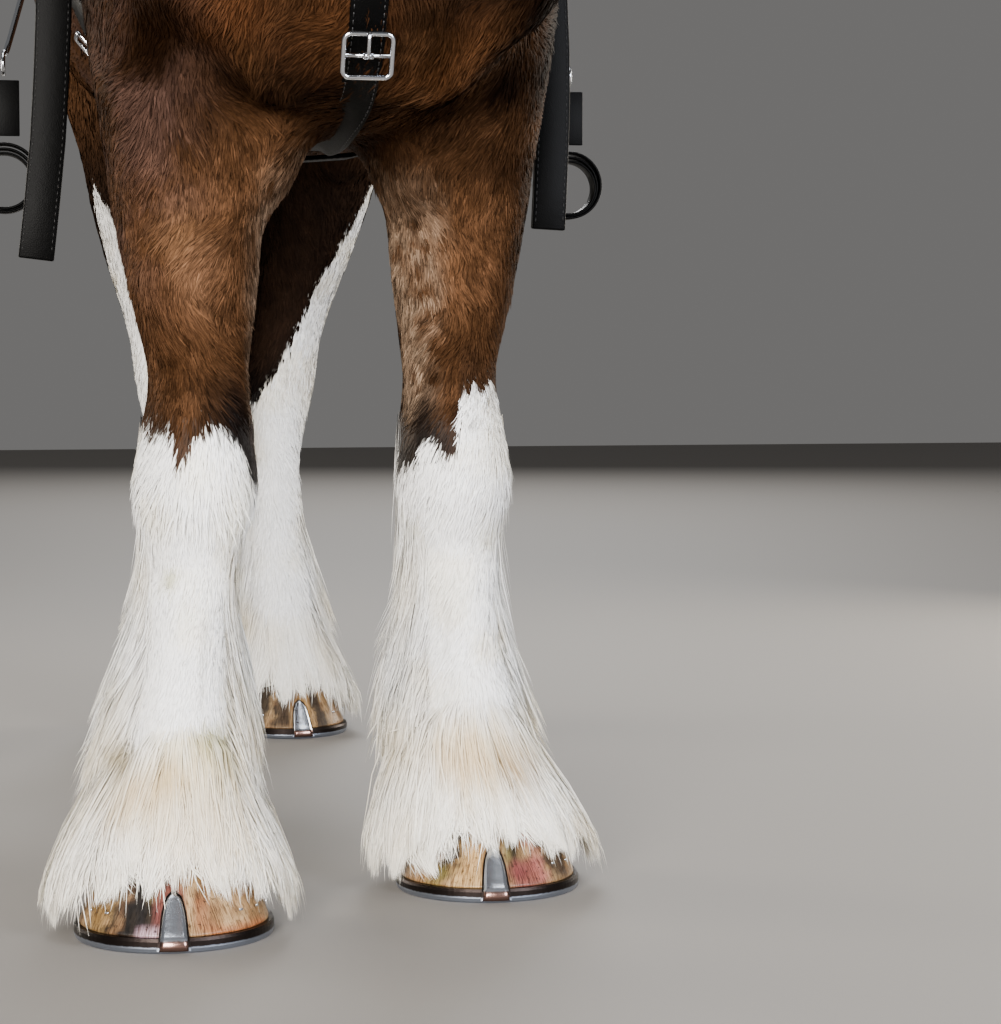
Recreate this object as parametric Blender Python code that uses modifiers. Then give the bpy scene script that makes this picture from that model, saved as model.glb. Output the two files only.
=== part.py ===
"""A life-size Clydesdale horse that stands still in its working harness.

Run with: blender --background --python part.py
Lengths are in metres and +Z is up. The horse faces -Y, so +X is its left side.
Places are measured from the floor midway between the fore hooves. Everything
hangs on one empty, which brings the middle of the whole model over the origin.
"""

import math
import random

import bmesh
import bpy
import numpy as np
from mathutils import Matrix, Vector
from mathutils.bvhtree import BVHTree

GAP = 0.0003  # between pieces that touch
MIDDLE_Y = 0.39  # the middle of the whole model, behind the fore hooves
SIDES = (("left", 1), ("right", -1))
LEGS = (("fore", "left"), ("fore", "right"), ("hind", "left"), ("hind", "right"))

# The carcass is lofted along these stations and then skinned as one form.
# Trunk: y, top, bottom, half width, height of the widest line.
TRUNK = (
    (-0.330, 1.42, 1.12, 0.10, 1.26),
    (-0.29, 1.53, 1.03, 0.18, 1.25),
    (-0.20, 1.63, 0.968, 0.228, 1.25),
    (-0.05, 1.72, 0.940, 0.262, 1.28),
    (0.12, 1.785, 0.944, 0.284, 1.30),
    (0.28, 1.805, 0.950, 0.298, 1.31),
    (0.45, 1.765, 0.952, 0.328, 1.32),
    (0.65, 1.720, 0.960, 0.354, 1.33),
    (0.85, 1.712, 0.980, 0.365, 1.34),
    (1.02, 1.732, 1.010, 0.358, 1.35),
    (1.18, 1.770, 1.060, 0.338, 1.38),
    (1.33, 1.765, 1.095, 0.320, 1.41),
    (1.45, 1.705, 1.125, 0.292, 1.41),
    (1.54, 1.610, 1.160, 0.235, 1.40),
    (1.60, 1.500, 1.230, 0.140, 1.37),
)
# Neck: crest y and z, throat y and z, half width.
NECK = (
    (0.32, 1.72, -0.20, 1.06, 0.220),
    (0.15, 1.800, -0.315, 1.24, 0.212),
    (-0.01, 1.955, -0.385, 1.41, 0.192),
    (-0.15, 2.115, -0.435, 1.56, 0.168),
    (-0.28, 2.240, -0.480, 1.70, 0.146),
    (-0.40, 2.318, -0.530, 1.82, 0.128),
    (-0.51, 2.350, -0.590, 1.92, 0.114),
    (-0.60, 2.340, -0.660, 1.985, 0.100),
)
# Head, from poll to muzzle: distance along it, forehead line, jaw line, half width.
POLL = Vector((0.0, -0.60, 2.315))
HEAD_SLOPE = math.radians(56)  # the face, below level
HEAD = (
    (-0.02, 0.020, -0.150, 0.070),
    (0.05, 0.050, -0.215, 0.092),
    (0.12, 0.066, -0.250, 0.104),
    (0.20, 0.072, -0.262, 0.104),
    (0.28, 0.068, -0.252, 0.092),
    (0.36, 0.060, -0.222, 0.076),
    (0.44, 0.055, -0.185, 0.063),
    (0.52, 0.052, -0.155, 0.056),
    (0.585, 0.050, -0.140, 0.058),
    (0.64, 0.044, -0.136, 0.064),
    (0.69, 0.028, -0.128, 0.060),
    (0.725, -0.005, -0.105, 0.046),
)
# Legs, from the body down: height, sideways place, place behind the hoof's middle,
# half width, reach to the front, reach to the back.
FORE_LEG = (
    (1.28, 0.195, 0.060, 0.100, 0.170, 0.170),
    (1.15, 0.198, 0.055, 0.112, 0.180, 0.170),
    (1.03, 0.190, 0.060, 0.108, 0.150, 0.155),
    (0.93, 0.181, 0.066, 0.101, 0.125, 0.135),
    (0.85, 0.178, 0.068, 0.092, 0.108, 0.112),
    (0.75, 0.173, 0.068, 0.076, 0.092, 0.090),
    (0.66, 0.168, 0.066, 0.061, 0.078, 0.076),
    (0.60, 0.170, 0.064, 0.067, 0.083, 0.074),
    (0.53, 0.173, 0.064, 0.073, 0.085, 0.080),
    (0.47, 0.176, 0.068, 0.063, 0.068, 0.076),
    (0.42, 0.180, 0.071, 0.052, 0.054, 0.066),
    (0.34, 0.184, 0.072, 0.048, 0.052, 0.062),
    (0.27, 0.190, 0.072, 0.051, 0.054, 0.066),
    (0.215, 0.195, 0.068, 0.061, 0.062, 0.076),
    (0.165, 0.200, 0.054, 0.059, 0.058, 0.068),
    (0.125, 0.204, 0.042, 0.071, 0.066, 0.072),
    (0.095, 0.206, 0.034, 0.087, 0.070, 0.076),
    (0.055, 0.206, 0.028, 0.088, 0.060, 0.072),
)
HIND_LEG = (
    (1.46, 0.165, -0.190, 0.140, 0.230, 0.270),
    (1.30, 0.175, -0.170, 0.150, 0.270, 0.260),
    (1.16, 0.172, -0.130, 0.140, 0.260, 0.220),
    (1.05, 0.160, -0.075, 0.114, 0.210, 0.165),
    (0.95, 0.150, -0.010, 0.100, 0.160, 0.130),
    (0.85, 0.135, 0.050, 0.086, 0.122, 0.115),
    (0.77, 0.120, 0.090, 0.072, 0.090, 0.105),
    (0.70, 0.106, 0.110, 0.067, 0.085, 0.105),
    (0.63, 0.098, 0.114, 0.066, 0.081, 0.086),
    (0.56, 0.092, 0.114, 0.056, 0.065, 0.072),
    (0.48, 0.086, 0.112, 0.049, 0.056, 0.064),
    (0.37, 0.086, 0.108, 0.048, 0.054, 0.062),
    (0.28, 0.090, 0.100, 0.051, 0.056, 0.066),
    (0.215, 0.095, 0.086, 0.060, 0.062, 0.074),
    (0.165, 0.098, 0.062, 0.057, 0.058, 0.066),
    (0.125, 0.100, 0.042, 0.066, 0.062, 0.068),
    (0.090, 0.100, 0.030, 0.078, 0.064, 0.070),
    (0.055, 0.100, 0.024, 0.078, 0.056, 0.066),
)
STATIONS = {"fore": FORE_LEG, "hind": HIND_LEG}
# Where each hoof's middle stands, and how far its toe turns to the horse's left.
FOOT = {
    ("fore", "left"): (0.206, 0.092, math.radians(-5)),
    ("fore", "right"): (-0.206, -0.092, math.radians(-4)),
    ("hind", "left"): (0.104, 1.43, math.radians(6)),
    ("hind", "right"): (-0.104, 1.48, math.radians(-6)),
}
# Hooves: half width and reach to the toe and heel on the ground, half width at the
# hair line, its height at the toe and heel, and how far the wall leans back per rise.
HOOF = {
    "fore": (0.1125, 0.117, 0.098, 0.089, 0.102, 0.058, 0.80),
    "hind": (0.095, 0.102, 0.090, 0.076, 0.092, 0.054, 0.66),
}
SHOE_THICK = 0.0175
SHOE_RIM = 0.005  # beyond the hoof
SHOE_WEB = 0.034  # width of the bar
SHOE_STEPS = 20
HEEL_OPEN = math.radians(28)  # half the open angle at the heels
CLIP_HEIGHT = 0.046
CLIP_WIDTH = 0.034

# Muscles and bones that swell the carcass: x, y, z, three radii, forward tilt in degrees.
MUSCLES = (
    (0.165, 0.01, 1.42, 0.125, 0.180, 0.340, 24),  # shoulder blade
    (0.155, -0.175, 1.21, 0.120, 0.140, 0.190, -20),  # point of the shoulder
    (0.085, -0.215, 1.10, 0.095, 0.085, 0.150, 12),  # pectoral
    (0.190, 0.130, 1.15, 0.090, 0.160, 0.150, 30),  # triceps
    (0.085, 0.020, 0.990, 0.080, 0.150, 0.130, 0),  # inner forearm
    (0.110, 1.200, 1.630, 0.150, 0.320, 0.150, 6),  # croup
    (0.185, 1.250, 1.420, 0.160, 0.280, 0.250, 0),  # haunch
    (0.140, 1.440, 1.330, 0.130, 0.170, 0.260, -12),  # buttock
    (0.175, 1.170, 1.110, 0.090, 0.110, 0.150, 20),  # stifle
    (0.245, 1.000, 1.570, 0.075, 0.090, 0.080, 0),  # hip
)
# Forms of the head: along, forward of the axis, sideways, three radii.
HEAD_FORMS = (
    (0.205, 0.020, 0.066, 0.062, 0.046, 0.040),  # brow
    (0.235, -0.140, 0.052, 0.118, 0.108, 0.052),  # cheek
    (0.360, -0.030, 0.056, 0.120, 0.014, 0.022),  # facial crest
    (0.655, 0.000, 0.040, 0.044, 0.040, 0.033),  # nostril wing
    (0.690, -0.030, 0.000, 0.036, 0.040, 0.046),  # upper lip
    (0.675, -0.112, 0.000, 0.042, 0.030, 0.040),  # chin
)
EYE = (0.208, 0.018)  # along the head and forward of its axis
EYE_RADIUS = 0.0225
EYE_DEEP = 0.0150  # its middle, inside the face
LID = (0.0225, 0.0058)  # radius of the rim and of its edge
NOSTRIL = (0.668, 0.006)
NOSTRIL_SIZE = (0.012, 0.024, 0.010)  # radii: deep, along the head, across
MOUTH = (0.640, -0.078, 0.0026)  # where the corner lies, forward of the axis, how open
EAR_ROOT = (0.025, 0.012, 0.056)  # along the head, forward, sideways
EAR_LEAN = Vector((0.26, -0.12, 0.95))  # the left ear's direction
EAR_FACE = Vector((0.50, -0.86, 0.0))  # the way its cup opens
EAR_LENGTH = 0.190
EAR_SUNK = 0.022
EAR_HALF = 0.041
EAR_OUTLINE = ((0, 0.62), (0.12, 0.80), (0.32, 1.0), (0.55, 0.90), (0.78, 0.58), (0.93, 0.24))
EAR_THICK = 0.0070

VOXEL = 0.011
SOFT_ROUNDS = 90  # on the trunk and neck
FIRM_ROUNDS = 8  # everywhere
COARSE = 0.021  # share of the skin's triangles kept on the trunk and legs
FINE = 0.058  # and on the head
NECK_FOOT = ((0.12, 1.860), (-0.37, 1.185))  # the cut under the collar: y, z
THROAT = ((-0.525, 2.40), (-0.625, 1.90))  # the cut behind the head
ELBOW_Z = 0.905
ELBOW_Y = 0.36
KNEE_Z = 0.625
FLANK_Z = 1.010
FLANK_Y = 1.085
HOCK_Z = 0.615

# Feather of a fore leg: height, reach to the side, back and front, centre behind the
# hoof's middle.
FEATHER = (
    (0.430, 0.050, 0.060, 0.050, 0.071),
    (0.380, 0.066, 0.095, 0.053, 0.072),
    (0.320, 0.088, 0.122, 0.056, 0.072),
    (0.260, 0.103, 0.140, 0.060, 0.069),
    (0.205, 0.113, 0.150, 0.068, 0.062),
    (0.155, 0.122, 0.152, 0.076, 0.045),
    (0.100, 0.138, 0.152, 0.088, 0.024),
    (0.060, 0.150, 0.155, 0.096, 0.012),
    (0.030, 0.155, 0.158, 0.104, 0.006),
)
FEATHER_LOW = (0.055, 0.012)  # the tips' height over the toe, and at the sides and back
HIND_SHARE = 0.86  # a hind feather's spread against a fore one's
BETWEEN = 0.010  # nothing of one leg comes nearer to the middle than this
# How far a feather's back hangs sideways of its leg.
FEATHER_LEAN = {
    ("fore", "left"): -0.030,
    ("fore", "right"): -0.006,
    ("hind", "left"): 0.0,
    ("hind", "right"): 0.0,
}
CORE = 0.48  # how far a core reaches towards the tips of its locks
# Locks of hair: each is flat below with a ridge above, and tapers along these shares.
LOCK_TAPER = (0.60, 1.0, 0.90, 0.58)
# Feather locks: how many, the arc they stand on (degrees from the back), the heights of
# their roots, the heights of their tips at the back and at the toe, width and depth.
FEATHER_LOCKS = {
    "fore": (
        (6, 88, (0.350, 0.455), (0.085, 0.150), 0.088, 0.024),
        (10, 180, (0.165, 0.205), (0.014, 0.046), 0.100, 0.024),
    ),
    "hind": (
        (5, 76, (0.300, 0.400), (0.090, 0.140), 0.080, 0.022),
        (8, 180, (0.150, 0.190), (0.014, 0.046), 0.096, 0.022),
    ),
}

MANE_FROM = -0.515  # the crest's stretch that carries the mane, by y
MANE_TO = -0.015
MANE_LONG = 0.36
MANE_PROUD = 0.034
MANE_SIDE = -1  # it falls on the right
# The forelock: along the head, half width, how far it stands off the forehead.
FORELOCK = (
    (0.006, 0.018, 0.012),
    (0.035, 0.022, 0.020),
    (0.070, 0.022, 0.016),
    (0.105, 0.012, 0.008),
)
MANE_LOCKS = 10
MANE_WIDTH = 0.084
FORELOCK_LOCKS = 4
TAIL_LOCKS = 7
TAIL_LOCK = (0.104, 0.026)  # width and depth
# The tail: y, z, half width, half depth.
TAIL = (
    (1.400, 1.610, 0.046, 0.046),
    (1.500, 1.630, 0.048, 0.046),
    (1.580, 1.605, 0.052, 0.046),
    (1.632, 1.525, 0.060, 0.048),
    (1.662, 1.410, 0.070, 0.052),
    (1.688, 1.260, 0.084, 0.058),
    (1.712, 1.080, 0.094, 0.062),
    (1.718, 0.890, 0.092, 0.060),
    (1.718, 0.730, 0.072, 0.048),
    (1.712, 0.600, 0.036, 0.028),
)

# Harness. The collar lies over the cut at the base of the neck.
COLLAR_MIDDLE = Vector((0, -0.125, 1.5225))
COLLAR_UP = Vector((0, 0.49, 0.675)).normalized()
COLLAR_HALF = 0.050  # along the neck
COLLAR_THICK = 0.056
COLLAR_STEPS = 28  # round the ring
HAME_RADIUS = 0.0105
CLEAR = 0.006  # between harness and skin, which leaves room for the coat
STRAP_THICK = 0.006
BREAST_WIDTH = 0.042
GIRTH_Y = 0.370
GIRTH_WIDTH = 0.060
BUCKLE_Z = 1.075
BUCKLE_LIFT = 0.0085  # a buckle's middle above its strap
PAD_WIDTH = 0.120
PAD_DOWN = math.radians(62)  # how far it reaches down either side
TRACE_WIDTH = 0.048
TRACE_THICK = 0.009
TRACE = ((-0.16, 1.315), (0.47, 1.262))  # from the hame back to its ring: y, z
RING_Y = 0.485
# The traces' folded ends, which hang from the rings: x, y, z down the left one, and how
# far the right one, which has slipped lower, goes.
HANG = ((0.330, 0.310, 1.235), (0.337, 0.310, 1.09), (0.336, 0.308, 0.98), (0.330, 0.305, 0.85))
HANG_RIGHT = ((0.325, 0.305, 1.232), (0.327, 0.306, 1.12), (0.336, 0.308, 0.96), (0.353, 0.305, 0.805))
HANG_WIDTH = 0.046
HANG_THICK = 0.012
COIL = (0.392, 0.455, 0.920)  # the middle of the coiled strap below the snap
COIL_RADII = (0.036, 0.048)  # across and upwards
COIL_WIDTH = 0.030
SNAP_BAR = (0.0045, 0.0070, 0.0065, 0.0055)  # radii of the swivel bar, from the ring down
TAB = (1.052, 0.977)  # a flat strap between snap and coil: top and bottom
TAB_WIDTH = 0.042

rng = random.Random(7)


def material(name, colour, roughness, metallic=0.0):
    mat = bpy.data.materials.new(name)
    mat.use_nodes = True
    shader = mat.node_tree.nodes["Principled BSDF"]
    shader.inputs["Base Color"].default_value = (*colour, 1)
    shader.inputs["Roughness"].default_value = roughness
    shader.inputs["Metallic"].default_value = metallic
    mat.diffuse_color = (*colour, 1)
    return mat


def eased(rows, steps):
    """The rows with smooth rows between them, on a Catmull-Rom curve."""
    rows = np.array(rows, float)
    ends = np.vstack([2 * rows[0] - rows[1], rows, 2 * rows[-1] - rows[-2]])
    out = []
    for i in range(1, len(ends) - 2):
        a, b, c, d = ends[i - 1 : i + 3]
        for t in np.arange(steps) / steps:
            cubic = (3 * b - 3 * c + d - a) * t**3
            square = (2 * a - 5 * b + 4 * c - d) * t**2
            out.append((2 * b + (c - a) * t + square + cubic) / 2)
    return np.array(out + [rows[-1]])


def at_height(rows, z):
    """The table's row at this height, between its stations."""
    table = np.array(rows)[::-1]
    return [float(np.interp(z, table[:, 0], table[:, i])) for i in range(1, table.shape[1])]


def mesh_of(bm, name):
    mesh = bpy.data.meshes.new(name)
    bm.to_mesh(mesh)
    bm.free()
    return mesh


def loft(rings, tip=None):
    """A closed mesh through rings of equal length, its ends capped or drawn to a tip."""
    bm = bmesh.new()
    loops = [[bm.verts.new(point) for point in ring] for ring in rings]
    count = len(rings[0])
    for low, high in zip(loops, loops[1:]):
        for i in range(count):
            j = (i + 1) % count
            bm.faces.new((low[i], low[j], high[j], high[i]))
    bm.faces.new(loops[0][::-1])
    if tip is None:
        bm.faces.new(loops[-1])
    else:
        end = bm.verts.new(tip)
        for i in range(count):
            bm.faces.new((loops[-1][i], loops[-1][(i + 1) % count], end))
    bmesh.ops.triangulate(bm, faces=bm.faces)
    bmesh.ops.recalc_face_normals(bm, faces=bm.faces)
    return mesh_of(bm, "loft")


def oval(low, high, half, widest, sides=24, fullness=0.88):
    """A ring that stands between two points of the middle plane, widest part way up it."""
    low, high = Vector(low), Vector(high)
    ring = []
    for k in range(sides):
        c = math.cos(math.tau * k / sides)
        s = math.sin(math.tau * k / sides)
        rise = math.copysign(abs(s) ** fullness, s)
        share = widest + rise * (1 - widest if s > 0 else widest)
        point = low.lerp(high, share)
        point.x = half * math.copysign(abs(c) ** fullness, c)
        ring.append(point)
    return ring


def trunk_mesh():
    rings = []
    for y, top, bottom, half, line in eased(TRUNK, 3):
        rings.append(oval((0, y, bottom), (0, y, top), half, (line - bottom) / (top - bottom)))
    return loft(rings)


def neck_mesh():
    rings = []
    for crest_y, crest_z, throat_y, throat_z, half in eased(NECK, 3):
        rings.append(oval((0, throat_y, throat_z), (0, crest_y, crest_z), half, 0.42, 24, 1.0))
    return loft(rings)


def head_frame():
    """Axes across, down and forward of the head."""
    down = Vector((0, -math.cos(HEAD_SLOPE), -math.sin(HEAD_SLOPE)))
    front = Vector((0, -math.sin(HEAD_SLOPE), math.cos(HEAD_SLOPE)))
    return Matrix((Vector((1, 0, 0)), down, front)).transposed()


def on_head(along, forward, sideways=0.0):
    """A point given by its place along the head, forward of its axis and sideways."""
    return POLL + head_frame() @ Vector((sideways, along, forward))


def head_mesh():
    rings = []
    for along, front, back, half in eased(HEAD, 3):
        rings.append(oval(on_head(along, back), on_head(along, front), half, 0.62, 24, 0.92))
    return loft(rings)


def leg_mesh(end, name):
    foot_x, foot_y, _ = FOOT[end, name]
    side = math.copysign(1, foot_x)
    rings = []
    for z, x, behind, half, front, back in eased(STATIONS[end], 3):
        ring = []
        for k in range(16):
            c = math.cos(math.tau * k / 16)
            s = math.sin(math.tau * k / 16)
            reach = back if s > 0 else front
            ring.append((side * x + half * c, foot_y + behind + reach * s, z))
        rings.append(ring)
    return loft(rings)


def ball(place, radii, turn, segments=20):
    bm = bmesh.new()
    bmesh.ops.create_uvsphere(bm, u_segments=segments, v_segments=segments // 2, radius=1)
    matrix = Matrix.Translation(place) @ turn.to_4x4() @ Matrix.Diagonal((*radii, 1))
    bmesh.ops.transform(bm, matrix=matrix, verts=bm.verts)
    return mesh_of(bm, "ball")


def merged(meshes):
    """One mesh that holds the given ones, which are then removed."""
    bm = bmesh.new()
    for mesh in meshes:
        bm.from_mesh(mesh)
        bpy.data.meshes.remove(mesh)
    return mesh_of(bm, "merged")


def carcass_mesh():
    """The closed lofts and swellings, still passing through one another."""
    meshes = [trunk_mesh(), neck_mesh(), head_mesh()]
    meshes += [leg_mesh(end, name) for end, name in LEGS]
    for _, side in SIDES:
        for x, y, z, rx, ry, rz, tilt in MUSCLES:
            turn = Matrix.Rotation(math.radians(tilt), 3, "X")
            meshes.append(ball((side * x, y, z), (rx, ry, rz), turn))
        for along, forward, sideways, ra, rf, rs in HEAD_FORMS:
            place = on_head(along, forward, side * sideways)
            meshes.append(ball(place, (rs, ra, rf), head_frame()))
    return merged(meshes)


def applied(obj):
    """The object with its modifiers applied and none left."""
    bpy.context.view_layer.update()
    graph = bpy.context.evaluated_depsgraph_get()
    mesh = bpy.data.meshes.new_from_object(obj.evaluated_get(graph))
    obj.modifiers.clear()
    old = obj.data
    obj.data = mesh
    bpy.data.meshes.remove(old)
    return obj


def helper(name, mesh, collection):
    obj = bpy.data.objects.new(name, mesh)
    obj.hide_render = True
    obj.display_type = "WIRE"
    collection.objects.link(obj)
    return obj


def drop(obj):
    mesh = obj.data
    bpy.data.objects.remove(obj)
    bpy.data.meshes.remove(mesh)


def softness(point):
    """1 on the trunk and neck, 0 on the head and below the elbow and stifle."""
    leg = (point.z - 0.86) / 0.16
    head = (point - POLL).dot(head_frame().col[2]) * -1 / 0.2 - 0.9
    near_head = point.y < -0.45
    share = min(leg, head) if near_head else leg
    return max(0.0, min(1.0, share))


def soften_trunk(obj):
    """Blends the muscles of the trunk into one another and leaves legs and head firm."""
    group = obj.vertex_groups.new(name="trunk")
    steps = 10
    members = [[] for _ in range(steps + 1)]
    for vertex in obj.data.vertices:
        members[round(softness(vertex.co) * steps)].append(vertex.index)
    for level, indices in enumerate(members):
        group.add(indices, level / steps, "REPLACE")
    soften = obj.modifiers.new("soften", "SMOOTH")
    soften.factor = 0.5
    soften.iterations = SOFT_ROUNDS
    soften.vertex_group = "trunk"
    firm = obj.modifiers.new("firm", "SMOOTH")
    firm.factor = 0.5
    firm.iterations = FIRM_ROUNDS
    return applied(obj)


def skinned():
    """The carcass as one smooth skin."""
    obj = helper("skin", carcass_mesh(), CUTTERS)
    remesh = obj.modifiers.new("one skin", "REMESH")
    remesh.mode = "VOXEL"
    remesh.voxel_size = VOXEL
    return soften_trunk(applied(obj))


def thinned(source, share):
    """A copy of the skin with this share of its triangles."""
    obj = helper("thin skin", source.data.copy(), CUTTERS)
    triangles = obj.modifiers.new("triangles", "TRIANGULATE")
    triangles.quad_method = "FIXED"
    thin = obj.modifiers.new("thin", "DECIMATE")
    thin.ratio = share
    return applied(obj)


def boolean(obj, operation, other):
    """Joins or cuts one object with another, which is then removed."""
    modifier = obj.modifiers.new(operation, "BOOLEAN")
    modifier.operation = operation
    modifier.object = other
    modifier.solver = "EXACT"
    applied(obj)
    drop(other)
    return obj


def fused(obj, meshes):
    """Joins many closed meshes to the object in one union."""
    bits = bpy.data.collections.new("bits")
    bpy.context.scene.collection.children.link(bits)
    for mesh in meshes:
        helper("bit", mesh, bits)
    modifier = obj.modifiers.new("join", "BOOLEAN")
    modifier.operation = "UNION"
    modifier.operand_type = "COLLECTION"
    modifier.collection = bits
    modifier.solver = "MANIFOLD"
    applied(obj)
    for bit in list(bits.objects):
        drop(bit)
    bpy.data.collections.remove(bits)
    return obj


def largest(obj):
    """Keeps only the largest closed surface of the object."""
    bm = bmesh.new()
    bm.from_mesh(obj.data)
    seen = set()
    shells = []
    for face in bm.faces:
        if face in seen:
            continue
        shell = []
        queue = [face]
        seen.add(face)
        while queue:
            here = queue.pop()
            shell.append(here)
            for edge in here.edges:
                for near in edge.link_faces:
                    if near not in seen:
                        seen.add(near)
                        queue.append(near)
        shells.append(shell)
    shells.sort(key=lambda shell: sum(face.calc_area() for face in shell))
    for shell in shells[:-1]:
        bmesh.ops.delete(bm, geom=shell, context="FACES")
    bm.to_mesh(obj.data)
    bm.free()
    return obj


def tidied(obj):
    """Merges the fragments that a union leaves on flat faces."""
    bm = bmesh.new()
    bm.from_mesh(obj.data)
    limit = math.radians(0.6)
    bmesh.ops.dissolve_limit(bm, angle_limit=limit, verts=bm.verts, edges=bm.edges)
    bmesh.ops.triangulate(bm, faces=bm.faces)
    bm.to_mesh(obj.data)
    bm.free()
    return obj


def block(low, high):
    """A box between two corners."""
    low, high = Vector(low), Vector(high)
    bm = bmesh.new()
    bmesh.ops.create_cube(bm, size=1)
    size = Matrix.Diagonal((*(high - low), 1))
    bmesh.ops.transform(bm, matrix=Matrix.Translation((low + high) / 2) @ size, verts=bm.verts)
    return mesh_of(bm, "block")


def wedge(line, gap, reach=2.0):
    """A cutter wider than the horse, on the left of a line in the side view, past a gap."""
    (ay, az), (by, bz) = line
    length = math.hypot(by - ay, bz - az)
    dy, dz = (by - ay) / length, (bz - az) / length
    outline = []
    for y, z, out, on in ((ay, az, gap, -1), (by, bz, gap, 1), (by, bz, reach, 1), (ay, az, reach, -1)):
        outline.append((y + dy * on - dz * out, z + dz * on + dy * out))
    return loft([[(x, y, z) for y, z in outline] for x in (-1, 1)])


def node(name, mesh, mat, smooth=False):
    """A finished piece of the model."""
    obj = bpy.data.objects.new(name, mesh)
    HORSE.objects.link(obj)
    obj.data.materials.clear()
    obj.data.materials.append(mat)
    if smooth:
        obj.data.shade_smooth()
    return obj


def region(name, source, cutters, mat):
    """A node: the skin cut to the regions of the given meshes."""
    obj = node(name, source.data.copy(), mat)
    for operation, mesh in cutters:
        boolean(obj, operation, helper("region", mesh, CUTTERS))
    return largest(obj)


def flesh_nodes(coarse, fine):
    """The skin parted at the neck, throat, elbow, knee, flank and hock."""
    head = region("head", fine, [("INTERSECT", wedge(THROAT[::-1], 0))], BAY)
    neck = [("DIFFERENCE", wedge(THROAT[::-1], -GAP)), ("INTERSECT", wedge(NECK_FOOT[::-1], 0))]
    region("neck", coarse, neck, BAY)
    torso = [
        ("DIFFERENCE", wedge(NECK_FOOT[::-1], -GAP)),
        ("DIFFERENCE", block((-1, -1, -0.1), (1, ELBOW_Y, ELBOW_Z))),
        ("DIFFERENCE", block((-1, FLANK_Y, -0.1), (1, 3, FLANK_Z))),
    ]
    region("torso", coarse, torso, BAY)
    for name, side in SIDES:
        inner, outer = sorted((0.0, side * 1.0))
        for limb, top, bend, front, back in (
            ("foreleg", ELBOW_Z, KNEE_Z, -1.0, ELBOW_Y),
            ("hindleg", FLANK_Z, HOCK_Z, FLANK_Y, 3.0),
        ):
            upper = block((inner, front, bend), (outer, back, top - GAP))
            lower = block((inner, front, 0.0), (outer, back, bend - GAP))
            region(f"{limb}_upper_{name}", coarse, [("INTERSECT", upper)], BAY)
            region(f"{limb}_lower_{name}", coarse, [("INTERSECT", lower)], WHITE)
    return head


def looped(rings):
    """A closed mesh through rings that run round to the first again."""
    bm = bmesh.new()
    loops = [[bm.verts.new(point) for point in ring] for ring in rings]
    count = len(rings[0])
    for low, high in zip(loops, loops[1:] + loops[:1]):
        for i in range(count):
            j = (i + 1) % count
            bm.faces.new((low[i], low[j], high[j], high[i]))
    bmesh.ops.triangulate(bm, faces=bm.faces)
    bmesh.ops.recalc_face_normals(bm, faces=bm.faces)
    return mesh_of(bm, "looped")


def bent_bar(path, radii, closed=False, roundness=1):
    """A bar along the path, with a radius at each point: square at roundness 0, six-sided at 1."""
    curve = bpy.data.curves.new("bar", "CURVE")
    curve.dimensions = "3D"
    curve.bevel_depth = 1.0
    curve.bevel_resolution = roundness
    curve.use_fill_caps = not closed
    spline = curve.splines.new("POLY")
    spline.points.add(len(path) - 1)
    spline.use_cyclic_u = closed
    for point, place, radius in zip(spline.points, path, radii):
        point.co = (*place, 1)
        point.radius = radius
    obj = helper("bar", curve, CUTTERS)
    bpy.context.view_layer.update()
    graph = bpy.context.evaluated_depsgraph_get()
    raw = bpy.data.meshes.new_from_object(obj.evaluated_get(graph))
    bpy.data.objects.remove(obj)
    bpy.data.curves.remove(curve)
    bm = bmesh.new()
    bm.from_mesh(raw)
    bpy.data.meshes.remove(raw)
    bmesh.ops.remove_doubles(bm, verts=bm.verts, dist=0.00005)
    bmesh.ops.triangulate(bm, faces=bm.faces)
    bmesh.ops.recalc_face_normals(bm, faces=bm.faces)
    return mesh_of(bm, "bar")


def grown(obj):
    """A copy of a piece, larger all round by the gap between pieces."""
    copy = helper("grown", obj.data.copy(), CUTTERS)
    swell = copy.modifiers.new("swell", "DISPLACE")
    swell.strength = GAP * 1.5
    swell.mid_level = 0
    return applied(copy)


def ear_mesh(side):
    """A leaf bent round into a cup, its root sunk in the head."""
    up = Vector((EAR_LEAN.x * side, EAR_LEAN.y, EAR_LEAN.z)).normalized()
    face = Vector((EAR_FACE.x * side, EAR_FACE.y, EAR_FACE.z))
    back = -(face - up * face.dot(up)).normalized()
    across = back.cross(up)
    along, forward, sideways = EAR_ROOT
    root = on_head(along, forward, side * sideways)
    rings = []
    for share, wide in EAR_OUTLINE:
        half = EAR_HALF * wide
        thick = EAR_THICK * (1 - 0.5 * share)
        centre = root + up * (EAR_LENGTH * share - EAR_SUNK * (1 - share))
        ring = []
        for wall, turns in ((half, range(-3, 4)), (half - thick, range(3, -4, -1))):
            for k in turns:
                angle = math.radians(36 * k)
                ring.append(centre + across * wall * math.sin(angle) + back * wall * 0.8 * math.cos(angle))
        rings.append(ring)
    tip = root + up * EAR_LENGTH + back * 0.006 - across * 0.004 * side
    return loft(rings, tip)


def ears(head):
    for name, side in SIDES:
        node(f"ear_{name}", ear_mesh(side), BAY)
        boolean(head, "DIFFERENCE", grown(bpy.data.objects[f"ear_{name}"]))


def face_point(tree, along, forward, side):
    """Where the face lies at this place along the head, seen from the side."""
    place = on_head(along, forward)
    return tree.ray_cast(place + Vector((side * 0.5, 0, 0)), Vector((-side, 0, 0)))[0]


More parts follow.
